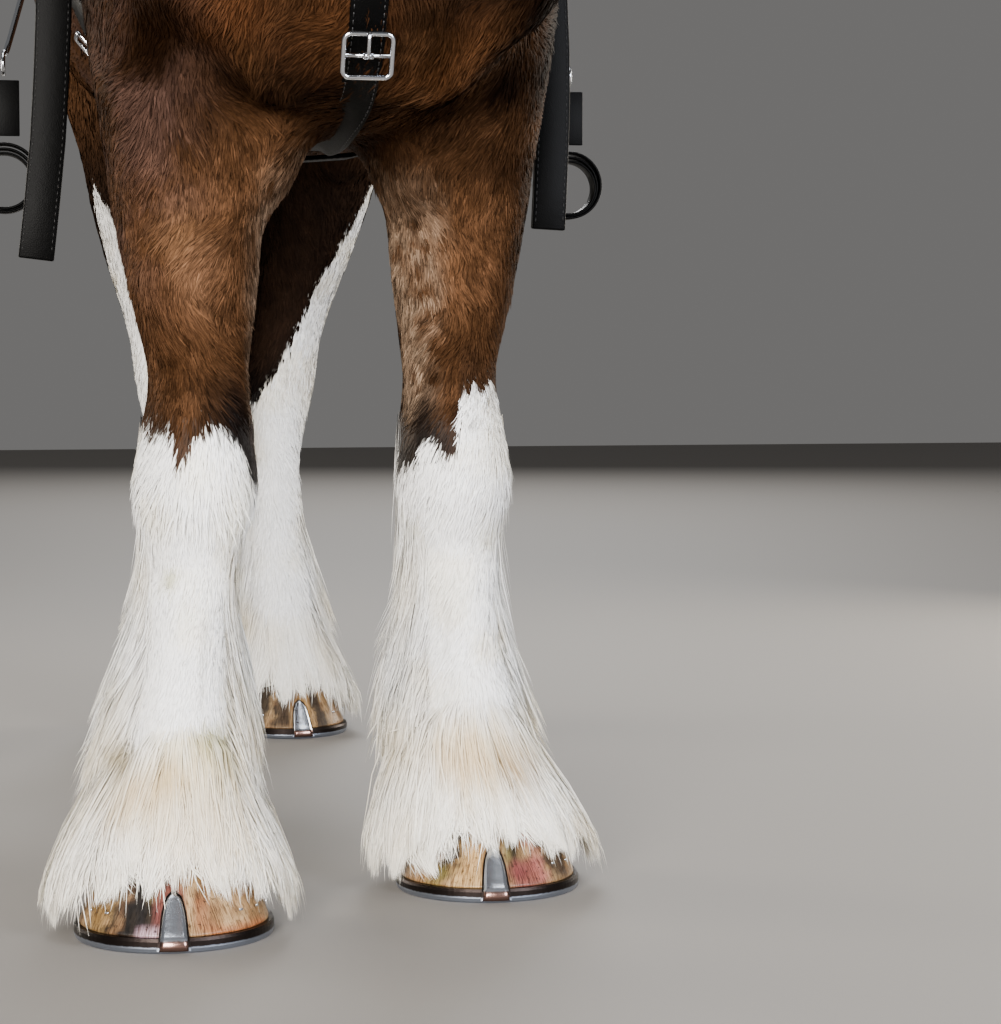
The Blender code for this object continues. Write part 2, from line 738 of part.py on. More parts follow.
def eyes_and_mouth(head):
    """Sinks the eyes between raised lids, and cuts nostrils and the mouth."""
    tree = BVHTree.FromObject(head, bpy.context.evaluated_depsgraph_get())
    places = {}
    lids = []
    for name, side in SIDES:
        surface = face_point(tree, *EYE, side)
        places[name] = surface - Vector((side * EYE_DEEP, 0, 0))
        path = []
        for k in range(14):
            angle = math.tau * k / 14
            along = 1.12 * LID[0] * math.cos(angle)
            forward = 0.80 * LID[0] * math.sin(angle)
            path.append(surface + head_frame() @ Vector((-side * 0.002, along, forward)))
        lids.append(bent_bar(path, [LID[1]] * 14, closed=True))
    fused(head, lids)
    for name, side in SIDES:
        ball_radii = [EYE_RADIUS + GAP] * 3
        socket = ball(places[name], ball_radii, Matrix.Identity(3), 12)
        boolean(head, "DIFFERENCE", helper("socket", socket, CUTTERS))
        node(f"eye_{name}", ball(places[name], [EYE_RADIUS] * 3, Matrix.Identity(3), 12), EYE_BROWN)
        nostril = face_point(tree, *NOSTRIL, side)
        turn = Matrix.Rotation(math.radians(side * 24), 3, "Z") @ head_frame()
        boolean(head, "DIFFERENCE", helper("nostril", ball(nostril, NOSTRIL_SIZE, turn, 10), CUTTERS))
    corner, forward, opening = MOUTH
    low = Vector((-0.2, corner, forward - opening / 2))
    mouth = block(low, low + Vector((0.4, 0.2, opening)))
    mouth.transform(Matrix.Translation(POLL) @ head_frame().to_4x4())
    boolean(head, "DIFFERENCE", helper("mouth", mouth, CUTTERS))


def crest_height(y):
    return SKIN_TREE.ray_cast(Vector((0, y, 3)), Vector((0, 0, -1)))[0].z


def mane_length(y):
    """How far the mane hangs here, shorter at the poll and where the collar is near."""
    before_collar = crest_height(y) - (1.65 + y + 0.185)
    near_poll = 0.20 + 0.9 * (y - MANE_FROM)
    return max(0.05, min(MANE_LONG, before_collar, near_poll))


def beside_neck(y, down, lift):
    """A point off the neck's side that carries the mane, this far below the crest."""
    z = crest_height(y) - down
    skin = SKIN_TREE.ray_cast(Vector((MANE_SIDE * 0.6, y, z)), Vector((-MANE_SIDE, 0, 0)))[0]
    return skin + Vector((MANE_SIDE * lift, 0, 0))


def mane_core(share):
    """A blanket from the crest down one side of the neck, this far out to the locks' tips."""
    rings = []
    proud = MANE_PROUD * share
    for y in np.linspace(MANE_FROM, MANE_TO, 9):
        top = crest_height(y)
        long = mane_length(y) * share
        ring = [Vector((-MANE_SIDE * 0.020, y, top - 0.016)), Vector((-MANE_SIDE * 0.012, y, top + proud * 0.4))]
        ring.append(Vector((MANE_SIDE * 0.012, y, top + proud * 0.7)))
        for t, lift in ((0.15, 1.1), (0.45, 0.9), (0.75, 0.7), (1.0, 0.4)):
            ring.append(beside_neck(y, max(0.02, long * t), proud * lift))
        for t, lift in ((0.96, 0.003), (0.6, 0.003), (0.4, 0.003), (0.2, -0.010)):
            ring.append(beside_neck(y, max(0.015, long * t), lift))
        rings.append(ring)
    return loft(rings)


def before_face(along, sideways, lift):
    """A point in front of the forehead."""
    front = head_frame().col[2]
    start = on_head(along, 0, sideways) + front * 0.5
    return FACE_TREE.ray_cast(start, -front)[0] + front * lift


def forelock_core():
    """A wedge of hair from between the ears, half way down the forelock."""
    rings = []
    for along, half, lift in FORELOCK:
        ring = [before_face(along, x * half, 0.003) for x in (-1, 0, 1)]
        for x in (0.9, 0.4, -0.4, -0.9):
            ring.append(before_face(along, x * half, lift * (1.2 - abs(x))))
        rings.append(ring)
    rings[0] = [point - head_frame().col[2] * 0.012 for point in rings[0]]
    return loft(rings)


def tail_core(share):
    """The dock and the hair close round it, as far down as the share."""
    rings = []
    for t in np.linspace(0, share * 1.1, 7):
        y, z, half, deep = tail_row(t)
        ring = []
        for k in range(10):
            angle = math.tau * k / 10
            taper = (0.9 - 0.5 * t / share) * (1 - 0.4 * (t / share) ** 4)
            ring.append((half * taper * math.cos(angle), y + deep * taper * math.sin(angle), z))
        rings.append(ring)
    return loft(rings)


def lock(spine, outs, width, depth):
    """One lock of hair: a ring at each point of the spine but the last, which is its tip."""
    rings = []
    for i in range(len(spine) - 1):
        share = float(np.interp(i / (len(spine) - 1), (0, 0.25, 0.5, 0.75), LOCK_TAPER))
        along = spine[i + 1] - spine[max(0, i - 1)]
        across = along.cross(outs[i]).normalized() * width * share / 2
        rings.append([spine[i] - across, spine[i] + across, spine[i] + outs[i] * depth * share])
    return loft(rings, spine[-1])


def mane_locks():
    locks = []
    outs = [Vector((MANE_SIDE, 0, 0.3)).normalized()] * 4
    for y in np.linspace(MANE_FROM + 0.012, MANE_TO - 0.02, MANE_LOCKS):
        length = mane_length(y) * rng.uniform(0.86, 1.0)
        sway = rng.uniform(-0.02, 0.035)
        lift = MANE_PROUD * rng.uniform(0.35, 0.75)
        spine = []
        for t, rise in ((0.02, 0.0), (0.25, 1.0), (0.55, 0.9), (0.8, 0.6), (1.0, 0.35)):
            place = y + sway * t * t
            spine.append(beside_neck(place, max(0.012, length * t), lift * rise + 0.002))
        locks.append(lock(spine, outs, MANE_WIDTH * rng.uniform(0.85, 1.1), 0.017))
    return locks


def forelock_locks():
    locks = []
    front = head_frame().col[2]
    for k in range(FORELOCK_LOCKS):
        side = 2 * k / (FORELOCK_LOCKS - 1) - 1
        end = rng.uniform(0.19, 0.225) - 0.03 * abs(side)
        spine = []
        for t in (0.0, 0.3, 0.55, 0.8, 1.0):
            along = 0.010 + (end - 0.010) * t
            spine.append(before_face(along, side * (0.012 + 0.024 * t), 0.004 + 0.014 * math.sin(math.pi * t)))
        locks.append(lock(spine, [front] * 4, 0.024, 0.011))
    return locks


def tail_row(share):
    """The tail's middle and half sizes, this far along it."""
    table = np.array(TAIL)
    at = share * (len(TAIL) - 1)
    return [float(np.interp(at, range(len(TAIL)), table[:, i])) for i in range(4)]


def tail_locks():
    locks = []
    for k in range(TAIL_LOCKS):
        angle = math.tau * (k + 0.3 * rng.random()) / TAIL_LOCKS
        root = 0.20 + 0.22 * (k % 3) / 2
        end = rng.uniform(0.88, 1.0)
        spine = []
        for t in (0.0, 0.3, 0.6, 0.85, 1.0):
            y, z, half, deep = tail_row(root + (end - root) * t)
            turned = angle + 0.25 * t
            reach = CORE * 0.8 + (0.94 - CORE * 0.8) * min(1.0, 2 * t)
            x = half * math.cos(turned) * reach
            spine.append(Vector((x, y + deep * math.sin(turned) * reach, z)))
        out = Vector((math.cos(angle), math.sin(angle), 0.1)).normalized()
        locks.append(lock(spine, [out] * 4, TAIL_LOCK[0] * rng.uniform(0.85, 1.1), TAIL_LOCK[1]))
    return locks


def hair_nodes():
    tail = node("tail", tail_core(CORE), BLACK_HAIR)
    fused(tail, tail_locks())
    boolean(tail, "DIFFERENCE", grown(coarse_skin))
    tidied(largest(tail))
    mane = node("mane", mane_core(CORE), BLACK_HAIR)
    fused(mane, mane_locks())
    boolean(mane, "DIFFERENCE", grown(coarse_skin))
    tidied(largest(mane))
    forelock = node("forelock", forelock_core(), BLACK_HAIR)
    fused(forelock, forelock_locks())
    boolean(forelock, "DIFFERENCE", grown(fine_skin))
    tidied(largest(forelock))


def skin_point(point, out):
    """Where the skin lies on the line through a point, seen from outside."""
    return SKIN_TREE.ray_cast(point + out * 0.6, -out)[0]


def raised(lows, outs):
    """Lifts the underside of a strap wherever it would cut a corner through the skin."""
    for _ in range(4):
        for i in range(len(lows) - 1):
            out = (outs[i] + outs[i + 1]).normalized()
            for j, k in ((0, 0), (1, 1), (2, 2), (0, 1), (1, 2), (1, 0), (2, 1)):
                middle = (lows[i][j] + lows[i + 1][k]) / 2
                short = CLEAR * 0.6 - (middle - skin_point(middle, out)).dot(out)
                if short > 0:
                    lows[i][j] = lows[i][j] + outs[i] * short
                    lows[i + 1][k] = lows[i + 1][k] + outs[i + 1] * short
    return lows


def strap_mesh(centres, outs, width, thick, lifts=None, closed=False):
    """A flat strap along the centres, lying this far off the skin where lifts are given."""
    lows = []
    count = len(centres)
    for i, (centre, out) in enumerate(zip(centres, outs)):
        before = centres[i - 1] if i or closed else centres[0]
        after = centres[(i + 1) % count] if i + 1 < count or closed else centres[-1]
        across = (after - before).cross(out).normalized() * width / 2
        low = [centre - across, centre, centre + across]
        if lifts:
            low = [skin_point(edge, out) + out * (CLEAR + lifts[i]) for edge in low]
        lows.append(low)
    if lifts:
        lows = raised(lows, outs)
    rings = []
    for low, out in zip(lows, outs):
        rings.append(low + [point + out * thick for point in reversed(low)])
    return looped(rings) if closed else loft(rings)


def collar_frame(angle):
    """The outward direction at this angle from the collar's top, and the way along the neck."""
    out = Vector((math.sin(angle), 0, 0)) + COLLAR_UP * math.cos(angle)
    along = Vector((0, -COLLAR_UP.z, COLLAR_UP.y))
    return out, along


def collar_point(step, share, lift):
    """A point on the collar's ring of steps, across its width and off the skin."""
    out, along = collar_frame(math.tau * step / COLLAR_STEPS)
    reach = 0.0
    for place in (-0.5, 0, 0.5, share):
        start = COLLAR_MIDDLE + along * COLLAR_HALF * place
        reach = max(reach, (skin_point(start, out) - start).length)
    return COLLAR_MIDDLE + along * COLLAR_HALF * share + out * (reach + lift)


def collar():
    """A padded ring round the base of the neck."""
    lows = []
    outs = []
    for step in range(COLLAR_STEPS + 1):
        out, along = collar_frame(math.tau * step / COLLAR_STEPS)
        starts = [COLLAR_MIDDLE + along * COLLAR_HALF * share for share in (-1, 0, 1)]
        lows.append([skin_point(start, out) + out * CLEAR for start in starts])
        outs.append(out)
    lows = raised(raised(lows, outs)[::-1], outs[::-1])[::-1]
    rings = []
    for step, low in enumerate(lows[:-1]):
        ring = list(low)
        for share, lift in ((0.9, 0.6), (0.35, 1.0), (-0.35, 1.0), (-0.9, 0.6)):
            ring.append(collar_point(step, share, CLEAR + COLLAR_THICK * lift))
        rings.append(ring)
    node("collar", looped(rings), LEATHER)


def hames():
    """Steel bars in the collar's groove, with a ball above, and the strap below them."""
    lift = CLEAR + COLLAR_THICK + HAME_RADIUS * 1.2
    for name, side in SIDES:
        path = []
        radii = []
        start = collar_point(side, 0, lift)
        for rise, radius in ((0.150, 0.006), (0.142, 0.016), (0.128, 0.017), (0.116, 0.008), (0.06, 0.009)):
            path.append(start + Vector((side * 0.15 * rise, 0.35 * rise, rise)))
            radii.append(radius)
        for step in range(1, COLLAR_STEPS // 2):
            path.append(collar_point(side * step, 0, lift))
            radii.append(HAME_RADIUS)
        node(f"hame_{name}", bent_bar(path, radii, False, 0), CHROME)
    outs = []
    centres = []
    for step in (-0.86, -0.4, 0, 0.4, 0.86):
        step += COLLAR_STEPS / 2
        outs.append(collar_frame(math.tau * step / COLLAR_STEPS)[0])
        centres.append(collar_point(step, 0, lift - 0.006))
    node("hame_strap", strap_mesh(centres, outs, 0.030, STRAP_THICK), LEATHER)


def breast_path():
    """Down the middle of the chest, in between the forelegs and back to the girth."""
    heart = Vector((0, 0.02, 1.16))
    centres = []
    outs = []
    for degrees in np.linspace(4, 78, 11):
        out = Vector((0, -math.cos(math.radians(degrees)), -math.sin(math.radians(degrees))))
        centres.append(skin_point(heart, out) + out * CLEAR)
        outs.append(out)
    down = Vector((0, 0, -1))
    for y in np.linspace(0.06, GIRTH_Y - GIRTH_WIDTH * 0.5 - 0.004, 6):
        centres.append(skin_point(Vector((0, y, 1.1)), down) + down * CLEAR)
        outs.append(down)
    return centres, outs


def buckle_mesh(centre, along, out, wide, tall, bar=0.0032):
    """A rounded frame with a middle bar and a tongue, all one piece."""
    across = along.cross(out).normalized()
    path = []
    for k in range(8):
        angle = math.tau * (k + 0.5) / 8
        c, s = math.cos(angle), math.sin(angle)
        x = math.copysign(abs(c) ** 0.4, c) * wide / 2
        y = math.copysign(abs(s) ** 0.4, s) * tall / 2
        path.append(centre + across * x + along * y)
    frame = helper("frame", bent_bar(path, [bar] * 8, True, 0), CUTTERS)
    rod = [centre - across * wide / 2, centre + across * wide / 2]
    tongue = [centre - along * 0.001, centre + out * bar * 0.4 + along * tall * 0.52]
    fused(frame, [bent_bar(rod, [bar * 0.8] * 2, False, 0), bent_bar(tongue, [bar * 0.75] * 2, False, 0)])
    mesh = frame.data.copy()
    drop(frame)
    return mesh


def breast_strap():
    centres, outs = breast_path()
    lying = [0.0] * len(centres)
    node("breast_strap", strap_mesh(centres, outs, BREAST_WIDTH, STRAP_THICK, lying), LEATHER)
    at = 3
    lift = outs[at] * (STRAP_THICK + BUCKLE_LIFT)
    along = (centres[at - 1] - centres[at + 1]).normalized()
    place = centres[at] + lift
    node("breast_buckle", buckle_mesh(place, along, outs[at], BREAST_WIDTH + 0.012, 0.052), CHROME)


def round_barrel(start, end, count):
    """Points on the skin round the barrel at the girth, by angle down from the back."""
    middle = Vector((0, GIRTH_Y, 1.33))
    centres = []
    outs = []
    for angle in np.linspace(start, end, count):
        out = Vector((math.sin(angle), 0, math.cos(angle)))
        centres.append(skin_point(middle, out) + out * CLEAR)
        outs.append(out)
    return centres, outs


def girth():
    """The pad over the back and the girth under the belly with its buckles."""
    centres, outs = round_barrel(-PAD_DOWN, PAD_DOWN, 15)
    node("back_pad", strap_mesh(centres, outs, PAD_WIDTH, 0.022, [0.0] * 15), LEATHER)
    start = PAD_DOWN + math.radians(1.2)
    centres, outs = round_barrel(start, math.tau - start, 25)
    node("girth", strap_mesh(centres, outs, GIRTH_WIDTH, STRAP_THICK, [0.0] * 25), LEATHER)
    for name, side in SIDES:
        near = [abs(centre.z - BUCKLE_Z) + (centre.x * side < 0) for centre in centres]
        at = near.index(min(near))
        along = (centres[at - side] - centres[at + side]).normalized()
        place = centres[at] + outs[at] * (STRAP_THICK + BUCKLE_LIFT)
        node(f"girth_buckle_{name}", buckle_mesh(place, along, outs[at], GIRTH_WIDTH + 0.014, 0.05), CHROME)


def traces():
    """The draught straps from the hames to a ring each, and what hangs from the rings."""
    (from_y, from_z), (to_y, to_z) = TRACE
    for name, side in SIDES:
        out = Vector((side, 0, 0))
        centres = []
        lifts = []
        for t in np.linspace(0, 1, 14):
            y = from_y + (to_y - from_y) * t
            z = from_z + (to_z - from_z) * t - 0.012 * math.sin(math.pi * t)
            centres.append(skin_point(Vector((0, y, z)), out))
            lifts.append(0.034 * math.exp(-(((y - GIRTH_Y) / 0.08) ** 2)))
        node(f"trace_{name}", strap_mesh(centres, [out] * 14, TRACE_WIDTH, TRACE_THICK, lifts), LEATHER)
        ring = Vector((centres[-1].x + side * (CLEAR + TRACE_THICK), RING_Y + 0.016, to_z))
        node(f"snap_{name}", snap_mesh(ring, side), CHROME)
        rows = HANG if side > 0 else HANG_RIGHT
        hang = [Vector((x * side, y, z)) for x, y, z in eased(rows, 2)]
        front = [Vector((0, -1, 0))] * len(hang)
        node(f"trace_end_{name}", strap_mesh(hang, front, HANG_WIDTH, HANG_THICK), LEATHER)
        tab = [Vector((side * COIL[0], COIL[1], z)) for z in TAB]
        node(f"tab_{name}", strap_mesh(tab, front[:2], TAB_WIDTH, STRAP_THICK), LEATHER)
        node(f"coil_{name}", coil_mesh(side), LEATHER)


def hoop(centre, wide, tall, bar):
    path = []
    for k in range(8):
        angle = math.tau * k / 8
        path.append(centre + Vector((0, wide * math.cos(angle), tall * math.sin(angle))))
    return bent_bar(path, [bar] * 8, True, 0)


def snap_mesh(ring, side):
    """A ring with a swivel bar below it and a shackle at the bar's foot."""
    upper = helper("upper", hoop(ring, 0.021, 0.021, 0.0042), CUTTERS)
    foot = Vector((side * COIL[0], COIL[1], TAB[0] + 0.022))
    down = (foot - ring).normalized()
    path = [ring + down * 0.019, ring + down * 0.05, foot - down * 0.035, foot - down * 0.012]
    bar = bent_bar(path, SNAP_BAR, False, 0)
    fused(upper, [bar, hoop(foot, 0.018, 0.016, 0.0042)])
    mesh = upper.data.copy()
    drop(upper)
    return mesh


def coil_mesh(side):
    """A strap bent round into a closed coil."""
    x, y, z = COIL
    wide, tall = COIL_RADII
    path = []
    outs = []
    for k in range(12):
        angle = math.tau * k / 12
        outs.append(Vector((math.cos(angle), 0, math.sin(angle))))
        path.append(Vector((side * x + wide * math.cos(angle), y, z + tall * math.sin(angle))))
    return strap_mesh(path, outs, COIL_WIDTH, STRAP_THICK, closed=True)


def hoof_ring(end, share, grow=0.0, sides=16):
    """A ring round the hoof, from the ground (0) to the hair line (1), about its middle."""
    half, toe, heel, top_half, toe_z, heel_z, lean = HOOF[end]
    ring = []
    for k in range(sides):
        t = math.tau * k / sides
        c, s = math.cos(t), math.sin(t)
        front = (1 - c) / 2
        height = heel_z + (toe_z - heel_z) * front
        z = SHOE_THICK + GAP + (height - SHOE_THICK) * share
        wide = half + (top_half - half) * share + grow
        if c < 0:
            x, y = wide * s, (toe - lean * z + grow) * c
        else:
            back = heel + grow + lean * 0.3 * z
            y = back * c**0.6
            x = wide * math.copysign(abs(s) ** 0.6, s) * (1 - 0.2 * (y / back) ** 2)
        ring.append((x, y, z))
    return ring


def placed(mesh, end, name):
    """Turns a mesh made about a hoof's middle and sets it where the hoof stands."""
    x, y, turn = FOOT[end, name]
    mesh.transform(Matrix.Translation((x, y, 0)) @ Matrix.Rotation(turn, 4, "Z"))
    return mesh


def hoof_mesh(end, name, grow=0.0):
    """The hoof, or the place it takes out of the leg when it is grown."""
    rings = [hoof_ring(end, share, grow) for share in (0, 0.35, 0.7, 1)]
    if grow:
        rings[-1] = [(x, y, z + grow) for x, y, z in rings[-1]]
        rings.insert(0, [(x, y, -0.02) for x, y, _ in rings[0]])
    return placed(loft(rings), end, name)


def shoe_mesh(end, name):
    """A bar bent round the hoof's edge, open at the heels, with a clip at the toe."""
    outer = hoof_ring(end, 0, SHOE_RIM, SHOE_STEPS)
    inner = hoof_ring(end, 0, SHOE_RIM - SHOE_WEB, SHOE_STEPS)
    opening = round(SHOE_STEPS * HEEL_OPEN / math.tau)
    rings = []
    for k in range(opening, SHOE_STEPS + 1 - opening):
        (ox, oy, _), (ix, iy, _) = outer[k], inner[k]
        rings.append([(ox, oy, 0), (ox, oy, SHOE_THICK), (ix, iy, SHOE_THICK), (ix, iy, 0)])
    half, toe, _, _, _, _, lean = HOOF[end]
    clip = []
    for z, wide, thick in ((0.004, 1.0, 0.0042), (0.6, 0.86, 0.0040), (1.0, 0.45, 0.0026)):
        z = z if z < 0.1 else SHOE_THICK + CLIP_HEIGHT * z
        front = -(toe - lean * z) - 0.0012
        w = CLIP_WIDTH * wide / 2
        clip.append([(-w, front, z), (w, front, z), (w, front - thick, z), (-w, front - thick, z)])
    bar = helper("bar", loft(rings), CUTTERS)
    fused(bar, [loft(clip)])
    mesh = bar.data.copy()
    drop(bar)
    return placed(mesh, end, name)


def feather_ring(end, name, z_share, share, sides=16):
    """A ring of the feather, part way from the leg (0) to its tips (1)."""
    spread = 1.0 if end == "fore" else HIND_SHARE
    foot_x, foot_y, _ = FOOT[end, name]
    toe_low, side_low = FEATHER_LOW
    top = FEATHER[0][0]
    ring = []
    for k in range(sides):
        c = math.cos(math.tau * k / sides)
        s = math.sin(math.tau * k / sides)
        low = side_low + (toe_low - side_low) * max(0.0, -c) ** 3
        z = top + (low - top) * z_share
        ring.append(feather_point(end, foot_x, foot_y, z, s, c, share, spread))
    return ring


def feather_point(end, foot_x, foot_y, z, s, c, share, spread=1.0):
    """A point of the feather at this height: s is outwards to the left, c to the back."""
    side, back, front, behind = at_height(FEATHER, z)
    lean = FEATHER_LEAN[end, "left" if foot_x > 0 else "right"] * min(1.0, (0.43 - z) / 0.12)
    leg_x, leg_behind, leg_half, leg_front, leg_back = at_height(STATIONS[end], z)
    leg_x = math.copysign(leg_x, foot_x)
    reach = back if c > 0 else front
    leg_reach = leg_back if c > 0 else leg_front
    if end == "hind":
        behind = behind + (leg_behind - behind) * min(1.0, z / 0.2)
    x = leg_half + (side * spread - leg_half) * share
    y = leg_reach + (reach * spread - leg_reach) * share
    centre = leg_behind + (behind - leg_behind) * share
    lean *= (0.6 + 0.4 * c) * share * min(1.0, z / 0.18)
    place = leg_x + x * s + lean
    if abs(place) < BETWEEN or place * foot_x < 0:
        place = math.copysign(BETWEEN, foot_x)
    return Vector((place, foot_y + centre + y * c, z))


def feather_core(end, name):
    """The hair close round the leg, part way out to the tips of the locks."""
    rings = [feather_ring(end, name, t, CORE, 12) for t in (0.06, 0.25, 0.45, 0.6, 0.72)]
    return loft(rings)


def feather_locks(end, name):
    """Locks that fall from behind the cannon, and a skirt of them over the hoof."""
    foot_x, foot_y, _ = FOOT[end, name]
    spread = 1.0 if end == "fore" else HIND_SHARE
    locks = []
    for count, arc, roots, tips, width, depth in FEATHER_LOCKS[end]:
        for k in range(count):
            place = (k + 0.5) / count * 2 - 1
            angle = math.radians(arc * place) + rng.uniform(-0.06, 0.06)
            front = max(0.0, -math.cos(angle)) ** 2
            root = roots[0] + (roots[1] - roots[0]) * rng.random()
            tip = tips[0] + (tips[1] - tips[0]) * (front if arc == 180 else rng.random())
            swirl = rng.uniform(-0.12, 0.12)
            spine = []
            outs = []
            for t in (0.0, 0.38, 0.74, 1.0) if arc == 180 else (0.0, 0.28, 0.56, 0.8, 1.0):
                turned = angle + swirl * t
                s, c = math.sin(turned), math.cos(turned)
                share = min(1.0, 1.25 * t) ** 0.8
                z = root + (tip - root) * t
                spine.append(feather_point(end, foot_x, foot_y, z, s, c, share * 0.96 - 0.04, spread))
                outs.append(Vector((s, c, 0.25)).normalized())
            locks.append(lock(spine, outs, width * rng.uniform(0.85, 1.1), depth))
    return locks


def lower_leg(end, name):
    """Joins the feather to the lower leg and cuts the hoof's place out of both."""
    leg = bpy.data.objects[f"{end}leg_lower_{name}"]
    fused(leg, [feather_core(end, name)] + feather_locks(end, name))
    boolean(leg, "DIFFERENCE", helper("hoof place", hoof_mesh(end, name, GAP * 2), CUTTERS))
    boolean(leg, "DIFFERENCE", grown(bpy.data.objects[f"shoe_{end}_{name}"]))
    if end == "hind":
        side = FOOT[end, name][0]
        inner, outer = sorted((math.copysign(BETWEEN / 2, side), math.copysign(1, side)))
        boolean(leg, "INTERSECT", helper("own side", block((inner, 0, -1), (outer, 3, 1)), CUTTERS))
    tidied(largest(leg))


def hooves():
    for end, name in LEGS:
        node(f"hoof_{end}_{name}", hoof_mesh(end, name), HORN)
        node(f"shoe_{end}_{name}", shoe_mesh(end, name), STEEL)
        lower_leg(end, name)


def hang_on_middle():
    """Parents every piece to an empty that brings the model's middle over the origin."""
    middle = bpy.data.objects.new("middle", None)
    middle.location = (0, -MIDDLE_Y, 0)
    for obj in HORSE.objects:
        obj.parent = middle
    HORSE.objects.link(middle)


def start_scene():
    for old in list(bpy.data.objects):
        bpy.data.objects.remove(old)


def collection(name):
    made = bpy.data.collections.new(name)
    bpy.context.scene.collection.children.link(made)
    return made


start_scene()
HORSE = collection("clydesdale")
CUTTERS = collection("cutters")

BAY = material("bay coat", (0.19, 0.055, 0.022), 0.6)
WHITE = material("white stocking", (0.78, 0.74, 0.68), 0.75)
HORN = material("hoof horn", (0.35, 0.24, 0.14), 0.3)
STEEL = material("shoe steel", (0.42, 0.42, 0.43), 0.35, 1.0)
CHROME = material("harness chrome", (0.75, 0.76, 0.78), 0.12, 1.0)
LEATHER = material("black harness leather", (0.012, 0.011, 0.011), 0.35)
BLACK_HAIR = material("black hair", (0.02, 0.016, 0.014), 0.55)
EYE_BROWN = material("eye", (0.03, 0.014, 0.008), 0.05)

whole_skin = skinned()
coarse_skin = thinned(whole_skin, COARSE)
fine_skin = thinned(whole_skin, FINE)
SKIN_TREE = BVHTree.FromObject(coarse_skin, bpy.context.evaluated_depsgraph_get())
FACE_TREE = BVHTree.FromObject(fine_skin, bpy.context.evaluated_depsgraph_get())
head_node = flesh_nodes(coarse_skin, fine_skin)
ears(head_node)
eyes_and_mouth(head_node)
hooves()
hair_nodes()
collar()
hames()
breast_strap()
girth()
traces()
for spare in (whole_skin, coarse_skin, fine_skin):
    drop(spare)
hang_on_middle()
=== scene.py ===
import math

import bmesh
import bpy
import numpy as np
from mathutils import Matrix, Vector
from mathutils.bvhtree import BVHTree


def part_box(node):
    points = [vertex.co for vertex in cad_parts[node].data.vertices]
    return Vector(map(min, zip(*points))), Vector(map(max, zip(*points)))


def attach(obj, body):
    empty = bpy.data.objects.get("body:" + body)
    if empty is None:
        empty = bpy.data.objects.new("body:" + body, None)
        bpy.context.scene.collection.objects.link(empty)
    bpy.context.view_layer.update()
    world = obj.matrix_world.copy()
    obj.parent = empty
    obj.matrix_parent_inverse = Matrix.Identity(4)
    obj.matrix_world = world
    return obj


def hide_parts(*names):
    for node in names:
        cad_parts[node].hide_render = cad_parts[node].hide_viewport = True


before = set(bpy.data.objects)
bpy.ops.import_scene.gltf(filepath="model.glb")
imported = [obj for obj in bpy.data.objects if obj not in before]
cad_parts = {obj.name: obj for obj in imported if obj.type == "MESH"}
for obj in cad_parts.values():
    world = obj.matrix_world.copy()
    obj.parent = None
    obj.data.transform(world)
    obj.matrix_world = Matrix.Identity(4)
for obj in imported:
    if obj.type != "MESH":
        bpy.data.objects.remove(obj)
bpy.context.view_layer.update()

# Places are worked out from the floor midway between the fore hooves, the horse facing -Y
# and +X its left. Each finished piece is then moved into the frame, by this much in y.
frameShift = Vector((0, -0.39, 0))
sides = {"left": 1, "right": -1}
limbs = [(end, name) for end in ("fore", "hind") for name in sides]
feet = {  # x and y of each hoof's middle and how far its toe turns to the horse's left
    ("fore", "left"): (0.206, 0.092, -5),
    ("fore", "right"): (-0.206, -0.092, -4),
    ("hind", "left"): (0.104, 1.43, 6),
    ("hind", "right"): (-0.104, 1.48, -6),
}
hindFrom = 0.70  # y that parts the fore limbs from the hind ones
rng = np.random.default_rng(11)


# Small tools

def linear(code):  # a hex colour as the renderer wants it
    channels = [int(code[i : i + 2], 16) / 255 for i in (1, 3, 5)]
    return np.array([c / 12.92 if c <= 0.04045 else ((c + 0.055) / 1.055) ** 2.4 for c in channels])


def addNode(tree, kind, settings=None, links=None):  # a ramp's "stops" are places and hex colours
    node = tree.nodes.new(kind)
    for key, value in (settings or {}).items():
        if key == "stops":
            elements = node.color_ramp.elements
            while len(elements) < len(value):
                elements.new(0.5)
            for element, (place, code) in zip(elements, value):
                element.position = place
                element.color = (*linear(code), 1)
        elif isinstance(key, int) or key in node.inputs:
            node.inputs[key].default_value = value
        else:
            setattr(node, key, value)
    for socket, source in (links or {}).items():
        tree.links.new(source, node.inputs[socket])
    return node


def newMaterial(name, **settings):  # a Principled shader, and its tree to add to
    material = bpy.data.materials.new(name)
    material.use_nodes = True
    shader = material.node_tree.nodes["Principled BSDF"]
    for key, value in settings.items():
        socket = key.replace("_", " ")
        shader.inputs[socket].default_value = (*linear(value), 1) if isinstance(value, str) else value
    return material, material.node_tree, shader


def smoothstep(low, high, value):
    t = np.clip((value - low) / (high - low), 0, 1)
    return t * t * (3 - 2 * t)


def blend(first, second, share):  # rows of colours mixed by a share for each row
    return first + (np.asarray(second) - first) * np.asarray(share)[:, None]


def softNoise(points, size, seed=0):  # smooth values from 0 to 1 with blobs of this size
    scaled = points / size + seed * 17.31
    cell = np.floor(scaled).astype(np.int64)
    part = scaled - cell
    part = part * part * (3 - 2 * part)
    total = np.zeros(len(points))
    for corner in range(8):
        step = np.array([corner & 1, corner >> 1 & 1, corner >> 2])
        x, y, z = (cell + step).T
        mixed = x * 374761393 + y * 668265263 + z * 1103515245 + seed * 144269
        mixed = (mixed ^ (mixed >> 13)) * 1274126177
        value = ((mixed ^ (mixed >> 16)) & 0xFFFF) / 65535
        total += value * np.prod(np.where(step, part, 1 - part), axis=1)
    return total


def unit(rows):
    return rows / np.maximum(np.linalg.norm(rows, axis=-1, keepdims=True), 1e-9)


